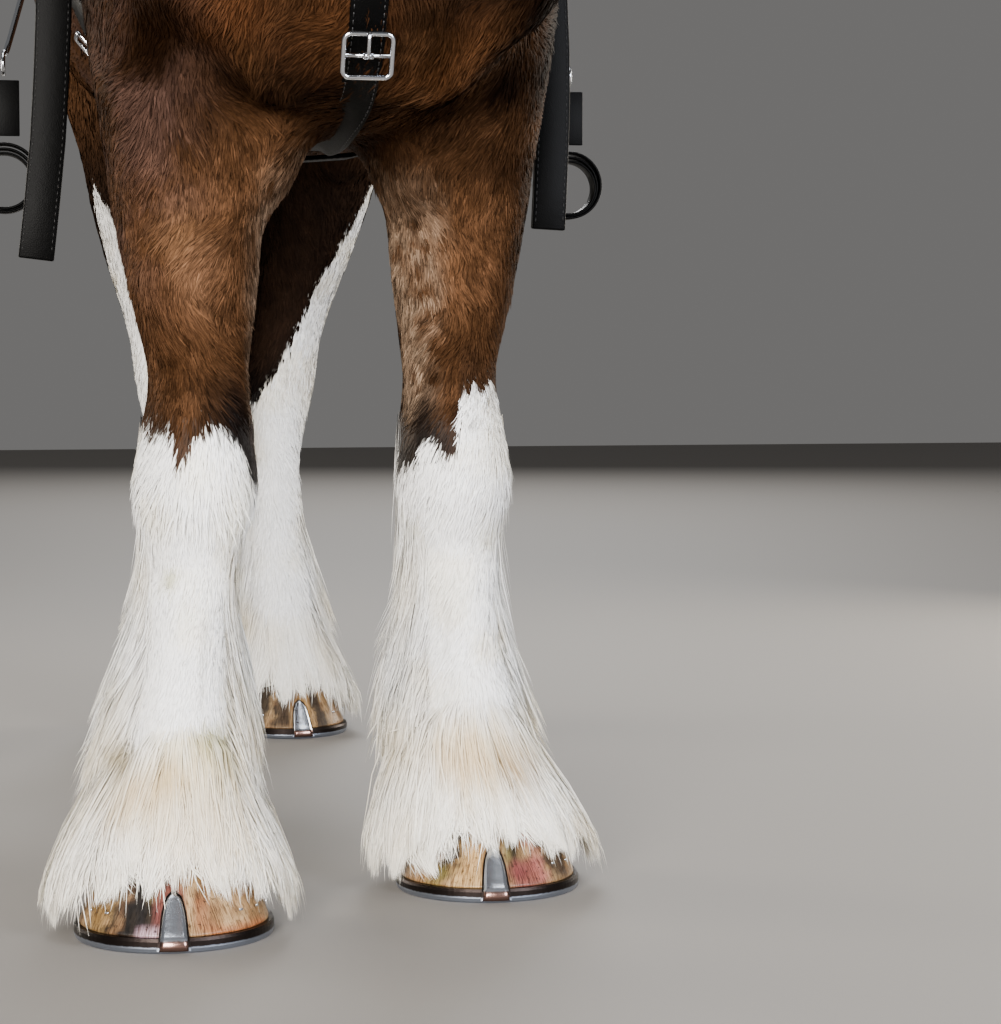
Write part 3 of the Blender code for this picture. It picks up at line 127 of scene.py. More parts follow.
def eased(rows, steps):  # smooth rows between the given ones
    rows = np.array(rows, float)
    ends = np.vstack([2 * rows[0] - rows[1], rows, 2 * rows[-1] - rows[-2]])
    out = []
    for i in range(1, len(ends) - 2):
        a, b, c, d = ends[i - 1 : i + 3]
        for t in np.arange(steps) / steps:
            cubic = (3 * b - 3 * c + d - a) * t**3
            out.append((2 * b + (c - a) * t + (2 * a - 5 * b + 4 * c - d) * t**2 + cubic) / 2)
    return np.array(out + [rows[-1]])


def meshFrom(bm, name):
    mesh = bpy.data.meshes.new(name)
    bm.to_mesh(mesh)
    bm.free()
    return mesh


def newObject(name, mesh):
    obj = bpy.data.objects.new(name, mesh)
    bpy.context.scene.collection.objects.link(obj)
    return obj


def applied(obj):  # the object with its modifiers applied
    bpy.context.view_layer.update()
    graph = bpy.context.evaluated_depsgraph_get()
    mesh = bpy.data.meshes.new_from_object(obj.evaluated_get(graph))
    obj.modifiers.clear()
    old, obj.data = obj.data, mesh
    bpy.data.meshes.remove(old)
    return obj


def loft(rings, close=False):  # rings of points bridged one to the next
    bm = bmesh.new()
    loops = []
    for ring in rings:
        made = bmesh.ops.create_circle(bm, segments=len(ring), radius=1)["verts"]
        for vert, place in zip(made, ring):
            vert.co = place
        loops.append(list(dict.fromkeys(edge for vert in made for edge in vert.link_edges)))
    for low, high in zip(loops, loops[1:] + loops[:1] if close else loops[1:]):
        bmesh.ops.bridge_loops(bm, edges=low + high)
    if not close:
        for loop in (loops[0], loops[-1]):
            bmesh.ops.edgeloop_fill(bm, edges=loop)
    bmesh.ops.recalc_face_normals(bm, faces=bm.faces)
    return bm


def joined(parts, name):  # many bmeshes as one mesh
    whole = bmesh.new()
    for part in parts:
        scratch = meshFrom(part, "part")
        whole.from_mesh(scratch)
        bpy.data.meshes.remove(scratch)
    return meshFrom(whole, name)


def ball(place, radii, turn=Matrix.Identity(3), segments=20):
    bm = bmesh.new()
    bmesh.ops.create_uvsphere(bm, u_segments=segments, v_segments=segments // 2, radius=1)
    matrix = Matrix.Translation(place) @ turn.to_4x4() @ Matrix.Diagonal((*radii, 1))
    bmesh.ops.transform(bm, matrix=matrix, verts=bm.verts)
    return bm


def nodeBox(node):  # the middle and the size of a CAD node's box
    low, high = (Vector(corner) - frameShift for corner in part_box(node))
    return (low + high) / 2, high - low


def finished(obj, material, slot, *nodes, smooth=True):  # moves a piece into the frame
    obj.data.transform(Matrix.Translation(frameShift))
    obj.data.materials.clear()
    obj.data.materials.append(material)
    if smooth:
        obj.data.shade_smooth()
    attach(obj, "root")
    if nodes:
        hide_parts(*nodes)


# Camera, at the photograph's low view of the forelegs

view = {"place": (-0.39, -3.39, 0.687), "tilt": 86.26, "turn": -11.22, "lens": 87.05}
camera = bpy.data.objects.new("camera", bpy.data.cameras.new("camera"))
camera.location = view["place"]
camera.rotation_euler = (math.radians(view["tilt"]), 0, math.radians(view["turn"]))
camera.data.lens = view["lens"]
camera.data.sensor_width = 36
bpy.context.scene.collection.objects.link(camera)
bpy.context.scene.camera = camera
print("camera set")


# The horse's form: the same stations as the solids'

trunkStations = (  # y, top, bottom, half width, height of the widest line
    (-0.330, 1.42, 1.12, 0.10, 1.26),
    (-0.29, 1.53, 1.03, 0.18, 1.25),
    (-0.20, 1.63, 0.968, 0.228, 1.25),
    (-0.05, 1.72, 0.940, 0.262, 1.28),
    (0.12, 1.785, 0.944, 0.284, 1.30),
    (0.28, 1.805, 0.950, 0.298, 1.31),
    (0.45, 1.765, 0.952, 0.328, 1.32),
    (0.65, 1.720, 0.960, 0.354, 1.33),
    (0.85, 1.712, 0.980, 0.365, 1.34),
    (1.02, 1.732, 1.010, 0.358, 1.35),
    (1.18, 1.770, 1.060, 0.338, 1.38),
    (1.33, 1.765, 1.095, 0.320, 1.41),
    (1.45, 1.705, 1.125, 0.292, 1.41),
    (1.54, 1.610, 1.160, 0.235, 1.40),
    (1.60, 1.500, 1.230, 0.140, 1.37),
)
neckStations = (  # crest y and z, throat y and z, half width
    (0.32, 1.72, -0.20, 1.06, 0.220),
    (0.15, 1.800, -0.315, 1.24, 0.212),
    (-0.01, 1.955, -0.385, 1.41, 0.192),
    (-0.15, 2.115, -0.435, 1.56, 0.168),
    (-0.28, 2.240, -0.480, 1.70, 0.146),
    (-0.40, 2.318, -0.530, 1.82, 0.128),
    (-0.51, 2.350, -0.590, 1.92, 0.114),
    (-0.60, 2.340, -0.660, 1.985, 0.100),
)
poll = Vector((0.0, -0.60, 2.315))
headSlope = math.radians(56)
headStations = (  # distance along it, forehead line, jaw line, half width
    (-0.02, 0.020, -0.150, 0.070),
    (0.05, 0.050, -0.215, 0.092),
    (0.12, 0.066, -0.250, 0.104),
    (0.20, 0.072, -0.262, 0.104),
    (0.28, 0.068, -0.252, 0.092),
    (0.36, 0.060, -0.222, 0.076),
    (0.44, 0.055, -0.185, 0.063),
    (0.52, 0.052, -0.155, 0.056),
    (0.585, 0.050, -0.140, 0.058),
    (0.64, 0.044, -0.136, 0.064),
    (0.69, 0.028, -0.128, 0.060),
    (0.725, -0.005, -0.105, 0.046),
)
legStations = {  # height, sideways, behind the hoof, half width, reach to front and back
    "fore": (
        (1.28, 0.195, 0.060, 0.100, 0.170, 0.170),
        (1.15, 0.198, 0.055, 0.112, 0.180, 0.170),
        (1.03, 0.190, 0.060, 0.108, 0.150, 0.155),
        (0.93, 0.181, 0.066, 0.101, 0.125, 0.135),
        (0.85, 0.178, 0.068, 0.092, 0.108, 0.112),
        (0.75, 0.173, 0.068, 0.076, 0.092, 0.090),
        (0.66, 0.168, 0.066, 0.061, 0.078, 0.076),
        (0.60, 0.170, 0.064, 0.067, 0.083, 0.074),
        (0.53, 0.173, 0.064, 0.073, 0.085, 0.080),
        (0.47, 0.176, 0.068, 0.063, 0.068, 0.076),
        (0.42, 0.180, 0.071, 0.052, 0.054, 0.066),
        (0.34, 0.184, 0.072, 0.048, 0.052, 0.062),
        (0.27, 0.190, 0.072, 0.051, 0.054, 0.066),
        (0.215, 0.195, 0.068, 0.061, 0.062, 0.076),
        (0.165, 0.200, 0.054, 0.059, 0.058, 0.068),
        (0.125, 0.204, 0.042, 0.071, 0.066, 0.072),
        (0.095, 0.206, 0.034, 0.087, 0.070, 0.076),
        (0.055, 0.206, 0.028, 0.088, 0.060, 0.072),
    ),
    "hind": (
        (1.46, 0.165, -0.190, 0.140, 0.230, 0.270),
        (1.30, 0.175, -0.170, 0.150, 0.270, 0.260),
        (1.16, 0.172, -0.130, 0.140, 0.260, 0.220),
        (1.05, 0.160, -0.075, 0.114, 0.210, 0.165),
        (0.95, 0.150, -0.010, 0.100, 0.160, 0.130),
        (0.85, 0.135, 0.050, 0.086, 0.122, 0.115),
        (0.77, 0.120, 0.090, 0.072, 0.090, 0.105),
        (0.70, 0.106, 0.110, 0.067, 0.085, 0.105),
        (0.63, 0.098, 0.114, 0.066, 0.081, 0.086),
        (0.56, 0.092, 0.114, 0.056, 0.065, 0.072),
        (0.48, 0.086, 0.112, 0.049, 0.056, 0.064),
        (0.37, 0.086, 0.108, 0.048, 0.054, 0.062),
        (0.28, 0.090, 0.100, 0.051, 0.056, 0.066),
        (0.215, 0.095, 0.086, 0.060, 0.062, 0.074),
        (0.165, 0.098, 0.062, 0.057, 0.058, 0.066),
        (0.125, 0.100, 0.042, 0.066, 0.062, 0.068),
        (0.090, 0.100, 0.030, 0.078, 0.064, 0.070),
        (0.055, 0.100, 0.024, 0.078, 0.056, 0.066),
    ),
}
muscles = (  # x, y, z, three radii, forward tilt in degrees, on each side
    (0.165, 0.01, 1.42, 0.125, 0.180, 0.340, 24),  # shoulder blade
    (0.155, -0.175, 1.21, 0.120, 0.140, 0.190, -20),  # point of the shoulder
    (0.085, -0.215, 1.10, 0.095, 0.085, 0.150, 12),  # pectoral
    (0.190, 0.130, 1.15, 0.090, 0.160, 0.150, 30),  # triceps
    (0.110, 1.200, 1.630, 0.150, 0.320, 0.150, 6),  # croup
    (0.185, 1.250, 1.420, 0.160, 0.280, 0.250, 0),  # haunch
    (0.140, 1.440, 1.330, 0.130, 0.170, 0.260, -12),  # buttock
    (0.175, 1.170, 1.110, 0.090, 0.110, 0.150, 20),  # stifle
    (0.245, 1.000, 1.570, 0.075, 0.090, 0.080, 0),  # hip
)
innerForearms = {  # x, y, z and three radii
    "left": (0.112, 0.120, 0.985, 0.066, 0.110, 0.140),
    "right": (-0.098, -0.035, 0.985, 0.070, 0.110, 0.140),
}
headForms = (  # along, forward of the axis, sideways, three radii
    (0.205, 0.020, 0.066, 0.062, 0.046, 0.040),  # brow
    (0.235, -0.140, 0.052, 0.118, 0.108, 0.052),  # cheek
    (0.360, -0.030, 0.056, 0.120, 0.014, 0.022),  # facial crest
    (0.655, 0.000, 0.040, 0.044, 0.040, 0.033),  # nostril wing
    (0.690, -0.030, 0.000, 0.036, 0.040, 0.046),  # upper lip
    (0.675, -0.112, 0.000, 0.042, 0.030, 0.040),  # chin
)
featherRows = np.array((  # height, reach sideways, back and front, centre behind the hoof
    (0.600, 0.070, 0.092, 0.050, 0.071),
    (0.430, 0.062, 0.084, 0.050, 0.071),
    (0.380, 0.066, 0.095, 0.053, 0.072),
    (0.320, 0.088, 0.122, 0.056, 0.072),
    (0.260, 0.103, 0.140, 0.060, 0.069),
    (0.205, 0.113, 0.150, 0.068, 0.062),
    (0.155, 0.122, 0.152, 0.076, 0.045),
    (0.100, 0.138, 0.152, 0.088, 0.024),
    (0.060, 0.150, 0.155, 0.096, 0.012),
    (0.030, 0.155, 0.158, 0.104, 0.006),
))[::-1]
featherLean = {("fore", "left"): -0.030, ("fore", "right"): -0.006}  # to the horse's left, at the back
headAxes = Matrix((  # across, down and forward of the head
    (1, 0, 0),
    (0, -math.cos(headSlope), -math.sin(headSlope)),
    (0, -math.sin(headSlope), math.cos(headSlope)),
)).transposed()


def onHead(along, forward, sideways=0.0):
    return poll + headAxes @ Vector((sideways, along, forward))


def oval(low, high, half, widest, fullness=0.88, count=24):  # a ring widest part way up
    low, high = Vector(low), Vector(high)
    ring = []
    for k in range(count):
        c, s = math.cos(math.tau * k / count), math.sin(math.tau * k / count)
        rise = math.copysign(abs(s) ** fullness, s)
        point = low.lerp(high, widest + rise * (1 - widest if s > 0 else widest))
        point.x = half * math.copysign(abs(c) ** fullness, c)
        ring.append(point)
    return ring


def legLoft(end, name):
    footX, footY, _ = feet[end, name]
    rings = []
    for z, x, behind, half, front, back in eased(legStations[end], 3):
        ring = []
        for k in range(20):
            c, s = math.cos(math.tau * k / 20), math.sin(math.tau * k / 20)
            reach = back if s > 0 else front
            ring.append((math.copysign(x, footX) + half * c, footY + behind + reach * s, z))
        rings.append(ring)
    return loft(rings)


def featherPlace(end, name, z, angle, share):  # rows of points from the leg (0) to the tips (1)
    footX, footY, _ = feet[end, name]
    s, c = np.sin(angle), np.cos(angle)
    spread = 1.0 if end == "fore" else 0.86
    side, back, front, behind = (np.interp(z, featherRows[:, 0], featherRows[:, i]) for i in range(1, 5))
    leg = np.array(legStations[end])[::-1]
    legX, legBehind, legHalf, legFront, legBack = (np.interp(z, leg[:, 0], leg[:, i]) for i in range(1, 6))
    lean = featherLean.get((end, name), 0.0) * np.clip((0.60 - z) / 0.16, 0, 1)
    if end == "hind":
        behind = behind + (legBehind - behind) * np.clip(z / 0.2, 0, 1)
    reach = np.where(c > 0, back, front)
    legReach = np.where(c > 0, legBack, legFront)
    x = legHalf + (side * spread - legHalf) * share
    y = legReach + (reach * spread - legReach) * share
    centre = legBehind + (behind - legBehind) * share
    lean = lean * (0.6 + 0.4 * c) * share * np.clip(z / 0.18, 0, 1)
    placeX = np.copysign(legX, footX) + x * s + lean
    placeX = np.sign(footX) * np.maximum(placeX * np.sign(footX), 0.008)
    return np.stack([placeX, footY + centre + y * c, z + 0 * s], axis=-1)


def slimness(z, angle):  # the hair is close to the front of the cannon
    behind = smoothstep(-0.7, 0.5, np.cos(angle))
    return 1 - 0.8 * (1 - behind) * smoothstep(0.12, 0.20, z)


def featherCore(end, name, share):  # the flesh and the hair close round it
    rings = []
    for z in (0.43, 0.36, 0.30, 0.24, 0.19, 0.14, 0.11, 0.09):
        angle = np.arange(16) * math.tau / 16
        slim = share * slimness(np.full(16, z), angle)
        rings.append([Vector(p) for p in featherPlace(end, name, np.full(16, z), angle, slim)])
    return loft(rings)


# Skin

skinSettings = {
    "voxel": 0.0118,
    "softRounds": 80,  # on the trunk and neck
    "firmRounds": 7,  # everywhere
    "coatDepth": 0.004,  # how far the skin lies inside the solids
    "faceDepth": 0.002,
    "core": 0.34,  # of the way from the leg to the feather's tips
}
skinNodes = ["head", "neck", "torso", "ear_left", "ear_right"]
skinNodes += [f"{end}leg_{half}_{name}" for end, name in limbs for half in ("upper", "lower")]


def softness(points):  # 1 on the trunk and neck, 0 on the head and the legs
    leg = np.maximum((points[:, 2] - 0.86) / 0.16, 0.45 * np.clip((points[:, 2] - 0.76) / 0.12, 0, 1))
    front = np.array(headAxes.col[2])
    head = -((points - np.array(poll)) @ front) / 0.2 - 0.9
    return np.clip(np.where(points[:, 1] < -0.45, np.minimum(leg, head), leg), 0, 1)


def rowsOf(items, what):  # a vector for each item
    out = np.empty(len(items) * 3, np.float32)
    items.foreach_get(what, out)
    return out.reshape(-1, 3).astype(float)


def coordinates(mesh):
    return rowsOf(mesh.vertices, "co")


def vertexNormals(mesh):
    return rowsOf(mesh.vertex_normals, "vector")


def moveVertices(mesh, places):
    mesh.vertices.foreach_set("co", places.astype(np.float32).ravel())
    mesh.update()


def makeSkin():
    trunk = [oval((0, y, b), (0, y, t), h, (w - b) / (t - b)) for y, t, b, h, w in eased(trunkStations, 3)]
    neck = [oval((0, ty, tz), (0, cy, cz), h, 0.42, 1.0) for cy, cz, ty, tz, h in eased(neckStations, 3)]
    head = [oval(onHead(a, b), onHead(a, f), h, 0.62, 0.92) for a, f, b, h in eased(headStations, 3)]
    parts = [loft(rings) for rings in (trunk, neck, head)]
    for end, name in limbs:
        parts.append(legLoft(end, name))
        parts.append(featherCore(end, name, skinSettings["core"]))
    for name, side in sides.items():
        parts.append(ball(innerForearms[name][:3], innerForearms[name][3:]))
        for x, y, z, rx, ry, rz, tilt in muscles:
            parts.append(ball((side * x, y, z), (rx, ry, rz), Matrix.Rotation(math.radians(tilt), 3, "X")))
        for along, forward, sideways, ra, rf, rs in headForms:
            parts.append(ball(onHead(along, forward, side * sideways), (rs, ra, rf), headAxes))
    skin = newObject("skin", joined(parts, "skin"))
    remesh = skin.modifiers.new("one skin", "REMESH")
    remesh.mode = "VOXEL"
    remesh.voxel_size = skinSettings["voxel"]
    applied(skin)
    group = skin.vertex_groups.new(name="trunk")
    level = np.round(softness(coordinates(skin.data)) * 10).astype(int)
    for step in range(11):
        group.add(np.nonzero(level == step)[0].tolist(), step / 10, "REPLACE")
    soften = skin.modifiers.new("soften", "SMOOTH")
    soften.iterations = skinSettings["softRounds"]
    soften.vertex_group = "trunk"
    firm = skin.modifiers.new("firm", "SMOOTH")
    firm.iterations = skinSettings["firmRounds"]
    return applied(skin)


skin = makeSkin()
print("skin made", len(skin.data.polygons))


headFeatures = {
    "eye": (0.208, 0.018, 0.0250, 0.0180),  # along, forward, and half sizes of the opening
    "nostril": (0.668, 0.004, 0.0230, 0.0105),
    "mouth": (0.640, -0.078, 0.0032),  # its corner, forward of the axis, half width
    "fineReach": 0.055,  # how far round each the skin is subdivided
}
nostrilBend = 9.0  # per metre, of the comma that a nostril makes


def headPlace(points):  # along, forward and sideways of the head's axis
    along, forward = (np.array(headAxes.col[i]) for i in (1, 2))
    away = points - np.array(poll)
    return away @ along, away @ forward, points[:, 0]


def mouthLine(along, forward):  # how far the mouth has begun, and how far from its line
    a, b, _ = headFeatures["mouth"]
    return smoothstep(a - 0.006, a + 0.008, along), np.abs(forward - b - 0.010 * np.sin((along - a) * 40))


def refineHead(skin):  # smaller faces round the eyes, the nostrils and the mouth
    f = headFeatures
    for _ in range(2):
        bm = bmesh.new()
        bm.from_mesh(skin.data)
        places = coordinates(skin.data)
        along, forward, _ = headPlace(places)
        near = np.hypot(along - f["eye"][0], forward - f["eye"][1]) < f["fineReach"]
        near |= (along > f["mouth"][0] - 0.02) & (places[:, 1] < -0.9)
        near &= (places[:, 1] < -0.6) & (along > 0.1)
        bm.verts.ensure_lookup_table()
        edges = [e for e in bm.edges if near[e.verts[0].index] and near[e.verts[1].index]]
        bmesh.ops.subdivide_edges(bm, edges=edges, cuts=1, use_grid_fill=True, smooth=0.6)
        bm.to_mesh(skin.data)
        bm.free()
        skin.data.update()


def shapeHead(skin):  # lids round the eye sockets, nostrils and lips
    f = headFeatures
    places, normals = coordinates(skin.data), vertexNormals(skin.data)
    along, forward, across = headPlace(places)
    onFace = (places[:, 1] < -0.6) & (along > 0.1)
    push = np.zeros(len(places))
    a, b, half, tall = f["eye"]
    rho = np.hypot((along - a) / half, (forward - b) / tall)
    side = onFace & (np.abs(across) > 0.045)
    lid = 0.0042 * np.exp(-(((rho - 1.22) / 0.22) ** 2))
    push += side * (-0.016 * (1 - smoothstep(0.55, 1.0, rho)) + lid)
    a, b, half, tall = f["nostril"]
    bent = forward - b - nostrilBend * (along - a) ** 2
    rho = np.hypot((along - a) / half, bent / tall)
    rim = 0.0040 * np.exp(-(((rho - 1.45) / 0.35) ** 2))
    push += side * (-0.020 * (1 - smoothstep(0.45, 1.05, rho)) + rim)
    fade, line = mouthLine(along, forward)
    groove = -0.0055 * np.exp(-((line / f["mouth"][2]) ** 2))
    lips = 0.0022 * np.exp(-(((line - 0.011) / 0.006) ** 2))
    push += onFace * fade * (groove + lips)
    moveVertices(skin.data, places + normals * push[:, None])


def sinkSkin(skin):  # brings the skin inside the solids by the coat's depth
    places, normals = coordinates(skin.data), vertexNormals(skin.data)
    along, _, _ = headPlace(places)
    onFace = smoothstep(0.0, 0.12, along) * (places[:, 1] < -0.5)
    low = 1 - smoothstep(0.40, 0.46, places[:, 2])
    depth = skinSettings["coatDepth"] * (1 - onFace) + skinSettings["faceDepth"] * onFace
    moveVertices(skin.data, places - normals * (depth * (1 - low))[:, None])


sinkSkin(skin)
refineHead(skin)
shapeHead(skin)
print("head shaped", len(skin.data.polygons))


# Markings, as a colour for each place on the horse

coatColours = {
    "dark": "#120a06",
    "mid": "#322012",
    "light": "#573c28",
    "tan": "#86725f",
    # painted sheen: a purplish reflection for the right shoulder
    "paintedSheen": "#3a2b26",
    "black": "#0d0a09",
    "white": "#f6f5f2",
    "cream": "#e2d3b0",
    "pink": "#b98a7e",
}
whiteLines = {  # height of the white along the front of each fore leg, from inner to outer side
    "right": (
        (-1, 0.525), (-0.75, 0.56), (-0.45, 0.60), (0.0, 0.614), (0.28, 0.568), (0.5, 0.607), (1, 0.605),
    ),
    "left": (
        (-1, 0.560), (-0.85, 0.550), (-0.68, 0.556), (-0.60, 0.590), (-0.46, 0.594), (-0.32, 0.575),
        (-0.12, 0.562), (-0.02, 0.580), (0.05, 0.622), (0.12, 0.652), (0.22, 0.640), (0.30, 0.662),
        (0.45, 0.642), (0.65, 0.652), (0.8, 0.635), (1, 0.610),
    ),
}
stainsAndCreaseShade = (  # x, y, z, radius, colour, strength; stains on the white, which at the pasterns also paint the shade of the crease and its fold
    (-0.204, -0.10, 0.429, 0.016, "#93904e", 0.75),
    (-0.250, -0.16, 0.233, 0.017, "#6b5d2c", 0.95),
    (-0.236, -0.17, 0.231, 0.016, "#7d6f38", 0.95),
    (-0.222, -0.18, 0.209, 0.018, "#bda86c", 0.90),
    (-0.239, -0.19, 0.197, 0.017, "#c3b077", 0.85),
    (-0.257, -0.19, 0.184, 0.017, "#c9b988", 0.80),
    (-0.276, -0.19, 0.171, 0.017, "#d2bf92", 0.70),
    (-0.190, -0.19, 0.212, 0.044, "#dfd09a", 0.75),
    (-0.268, -0.09, 0.205, 0.021, "#8a7638", 0.75),
    (-0.209, -0.13, 0.188, 0.023, "#a98a52", 0.80),
    (-0.243, -0.14, 0.170, 0.026, "#b99a62", 0.80),
    (-0.277, -0.13, 0.152, 0.023, "#c0a573", 0.65),
    (-0.155, -0.10, 0.232, 0.021, "#86813c", 0.95),
    (-0.142, -0.12, 0.200, 0.023, "#a59a55", 0.75),
    (-0.185, -0.15, 0.150, 0.065, "#cdb78e", 0.60),
    (0.110, 0.07, 0.470, 0.024, "#96904a", 0.80),
    (0.128, 0.06, 0.440, 0.018, "#9c9656", 0.60),
    (0.188, 0.00, 0.176, 0.058, "#cdb78a", 0.80),
    (0.215, 0.00, 0.160, 0.026, "#a98a5c", 0.80),
    (0.245, 0.03, 0.157, 0.029, "#96774a", 0.95),
    (0.170, 0.03, 0.168, 0.039, "#c9ad82", 0.65),
)
paintedShadeAndHighlights = (  # x, y, z, radius, colour, strength; the dark rows paint shade on the chest, the light rows paint highlights on the forearms
    (-0.235, -0.25, 1.045, 0.060, "#120803", 0.7),
    (-0.180, -0.31, 0.990, 0.050, "#120803", 0.7),
    (-0.130, -0.34, 0.955, 0.045, "#0e0602", 0.7),
    (0.089, -0.30, 1.010, 0.045, "#0e0602", 0.8),
    (0.140, -0.28, 0.980, 0.060, "#4a2e1a", 0.6),
    (0.060, -0.32, 0.960, 0.050, "#4a2e1a", 0.5),
    (-0.150, -0.33, 1.060, 0.060, "#462a18", 0.5),
    (-0.027, -0.34, 1.040, 0.060, "#382111", 0.5),
    (0.148, 0.00, 0.800, 0.038, "#6f4e35", 0.6),
    (0.156, 0.00, 0.740, 0.032, "#684b33", 0.6),
    (0.125, 0.00, 0.830, 0.030, "#6b4a30", 0.5),
    (-0.223, -0.22, 0.885, 0.030, "#836449", 0.5),
    (-0.194, -0.19, 0.830, 0.045, "#684b33", 0.6),
    (-0.170, -0.18, 0.780, 0.045, "#634834", 0.6),
    (-0.146, -0.22, 0.865, 0.030, "#664730", 0.5),
    (-0.206, -0.22, 0.915, 0.022, "#835d40", 0.5),
)


def legOf(points):  # whether on a fore limb, its side, the place across (-1 inner, 1 outer) and to the front
    fore = points[:, 1] < hindFrom
    side = np.sign(points[:, 0])
    across, front = np.zeros(len(points)), np.zeros(len(points))
    for end, name in limbs:
        rows = (fore == (end == "fore")) & (side == sides[name])
        table = np.array(legStations[end])[::-1]
        x, behind, half = (np.interp(points[rows, 2], table[:, 0], table[:, i]) for i in (1, 2, 3))
        across[rows] = np.clip((np.abs(points[rows, 0]) - x) / half, -1.2, 1.2)
        front[rows] = -(points[rows, 1] - feet[end, name][1] - behind) / half
    return fore, side, across, front


def whiteHeight(points):
    fore, side, across, front = legOf(points)
    height = np.full(len(points), 0.60)
    for name, line in whiteLines.items():
        rows = fore & (side == sides[name])
        xs, zs = np.array(line).T
        along = np.interp(across[rows], xs, zs)
        height[rows] = 0.585 + (along - 0.585) * smoothstep(-0.5, 0.3, front[rows])
    hind = ~fore
    aside = np.degrees(np.arctan2(across[hind], front[hind]))  # 0 to the leg's front, 90 outwards
    stripe = 0.38 * np.exp(-(((aside - 52) / 44) ** 2))
    height[hind] = 0.60 + stripe + 0.05 * smoothstep(90, 150, np.abs(aside))
    return height


def dabbed(rows, points, dabs, squash, edge, ragged):  # soft spots of colour with ragged edges
    for x, y, z, radius, code, strength in dabs:
        away = np.linalg.norm((points - (x, y, z)) * squash, axis=1) / radius
        rows = blend(rows, linear(code), strength * (1 - smoothstep(*edge, away + 0.6 * (ragged - 0.5))))
    return rows


def bayColour(points, colours, noises, limb):  # brown hair, partly darkened on the breast by painted shade, with a painted sheen on the right shoulder and roan inside that also paints a rim highlight
    broad, middle, fine = noises
    fore, side, across, _ = limb
    x, y, z = points.T
    # The breast is darker and more varied: partly its deeper bay, partly painted shade
    breast = (1 - smoothstep(0.05, 0.35, y)) * (1 - smoothstep(1.25, 1.5, z))
    lower = (1 - smoothstep(0.86, 1.0, z)) * (y < hindFrom)
    even = 0.50 * (1 - breast) + (0.24 + 0.16 * lower) * breast
    depth = even + (0.10 + 0.34 * breast) * (1.1 * broad + 0.9 * middle - 1.0)
    rows = np.tile(colours["dark"], (len(points), 1))
    rows = blend(rows, colours["mid"], smoothstep(0.10, 0.55, depth + 0.1))
    rows = blend(rows, colours["light"], 0.8 * smoothstep(0.30, 0.85, depth + 0.35 * (fine - 0.5)))
    rows = blend(rows, colours["dark"], 0.5 * smoothstep(1.60, 1.78, z) * (y > -0.1))
    # Painted sheen: a purplish reflection painted on the right shoulder and forearm
    paintedSheen = fore * (side < 0) * smoothstep(0.13, 0.24, -x)
    paintedSheen = paintedSheen * smoothstep(0.70, 0.85, z) * (1 - smoothstep(1.15, 1.3, z))
    rows = blend(rows, colours["paintedSheen"], 0.75 * paintedSheen * smoothstep(0.25, 0.8, middle + 0.4 * (fine - 0.5)))
    # Painted shade on the chest and painted highlights on the forearms
    rows = dabbed(rows, points, paintedShadeAndHighlights, (1, 0.5, 0.8), (0.4, 1.4), middle)
    # Roan tan low inside the forelegs; the band along their inner edges is partly a painted rim highlight
    under = (1 - smoothstep(0.80, 0.94, z)) * fore
    edge = np.where(side > 0, smoothstep(0.15, 0.75, -across), smoothstep(0.6, 1.05, -across))
    roanAndRimLight = np.maximum(under * edge, fore * (z < 0.93) * 0.5 * (1 - smoothstep(0.02, 0.08, np.abs(x))))
    return blend(rows, colours["tan"], np.clip(roanAndRimLight * (1.3 * fine - 0.15), 0, 0.7))


def snowColour(points, colours, noises, limb):  # white hair, creamy low down, stained at knees and pasterns, the pastern stains also painting the crease's shade, and painted shade in a groove on the fore cannons
    _, middle, fine = noises
    fore, _, across, front = limb
    z = points[:, 2]
    snow = np.tile(colours["white"], (len(points), 1))
    snow = blend(snow, colours["cream"], 0.30 * smoothstep(0.4, 0.8, middle))
    low = 1 - smoothstep(0.05, 0.25, z)
    pastern = np.exp(-(((z - 0.185) / 0.035) ** 2))
    snow = blend(snow, colours["cream"], np.clip(0.30 * low + 0.45 * pastern * middle, 0, 0.8))
    # Painted shade in the groove between cannon bone and tendon, on the inner front of the fore legs
    groove = fore * np.exp(-(((across + 0.38) / 0.09) ** 2)) * (front > 0)
    groove = groove * smoothstep(0.24, 0.30, z) * (z < 0.40)
    snow = snow * (1 - 0.22 * groove * smoothstep(0.40, 0.37, z))[:, None]
    # Stains, which at the pasterns also paint the crease's shade
    return dabbed(snow, points, stainsAndCreaseShade, (1, 0.35, 1), (0.2, 1.6), fine)


def faceColour(rows, points, colours, middle):  # blaze, chin, pink muzzle, bare dark skin round the eyes, and painted shade inside the nostrils' openings
    along, forward, across = headPlace(points)
    face = (points[:, 1] < -0.6) & (along > 0.02)
    half = np.interp(along, (0.03, 0.10, 0.30, 0.50, 0.60, 0.74), (0.0, 0.036, 0.026, 0.022, 0.050, 0.060))
    inside = half + 0.012 * (middle - 0.5) - np.abs(across)
    blaze = face * (forward > -0.02) * smoothstep(-0.004, 0.004, inside)
    chin = face * (along > 0.60) * (forward < -0.085)
    rows = blend(rows, colours["white"], np.maximum(blaze, chin * 0.9))
    muzzle = face * smoothstep(0.60, 0.70, along) * 0.75
    rows = blend(rows, colours["pink"] * (0.5 + 0.7 * middle)[:, None], muzzle)
    # Bare dark skin round the eyes; inside the nostrils the dark is painted shade of the opening
    for key, low, high in (("eye", 0.95, 1.5), ("nostril", 0.6, 1.15)):
        a, b, half, tall = headFeatures[key]
        bent = forward - b - nostrilBend * (along - a) ** 2 * (key == "nostril")
        rho = np.hypot((along - a) / half, bent / tall)
        bare = face * (np.abs(across) > 0.03) * (1 - smoothstep(low, high, rho))
        rows = blend(rows, colours["black"], 0.92 * bare)
    fade, line = mouthLine(along, forward)
    lips = np.exp(-((line / headFeatures["mouth"][2]) ** 2))
    return blend(rows, colours["black"] * 2.5, 0.7 * lips * face * fade)


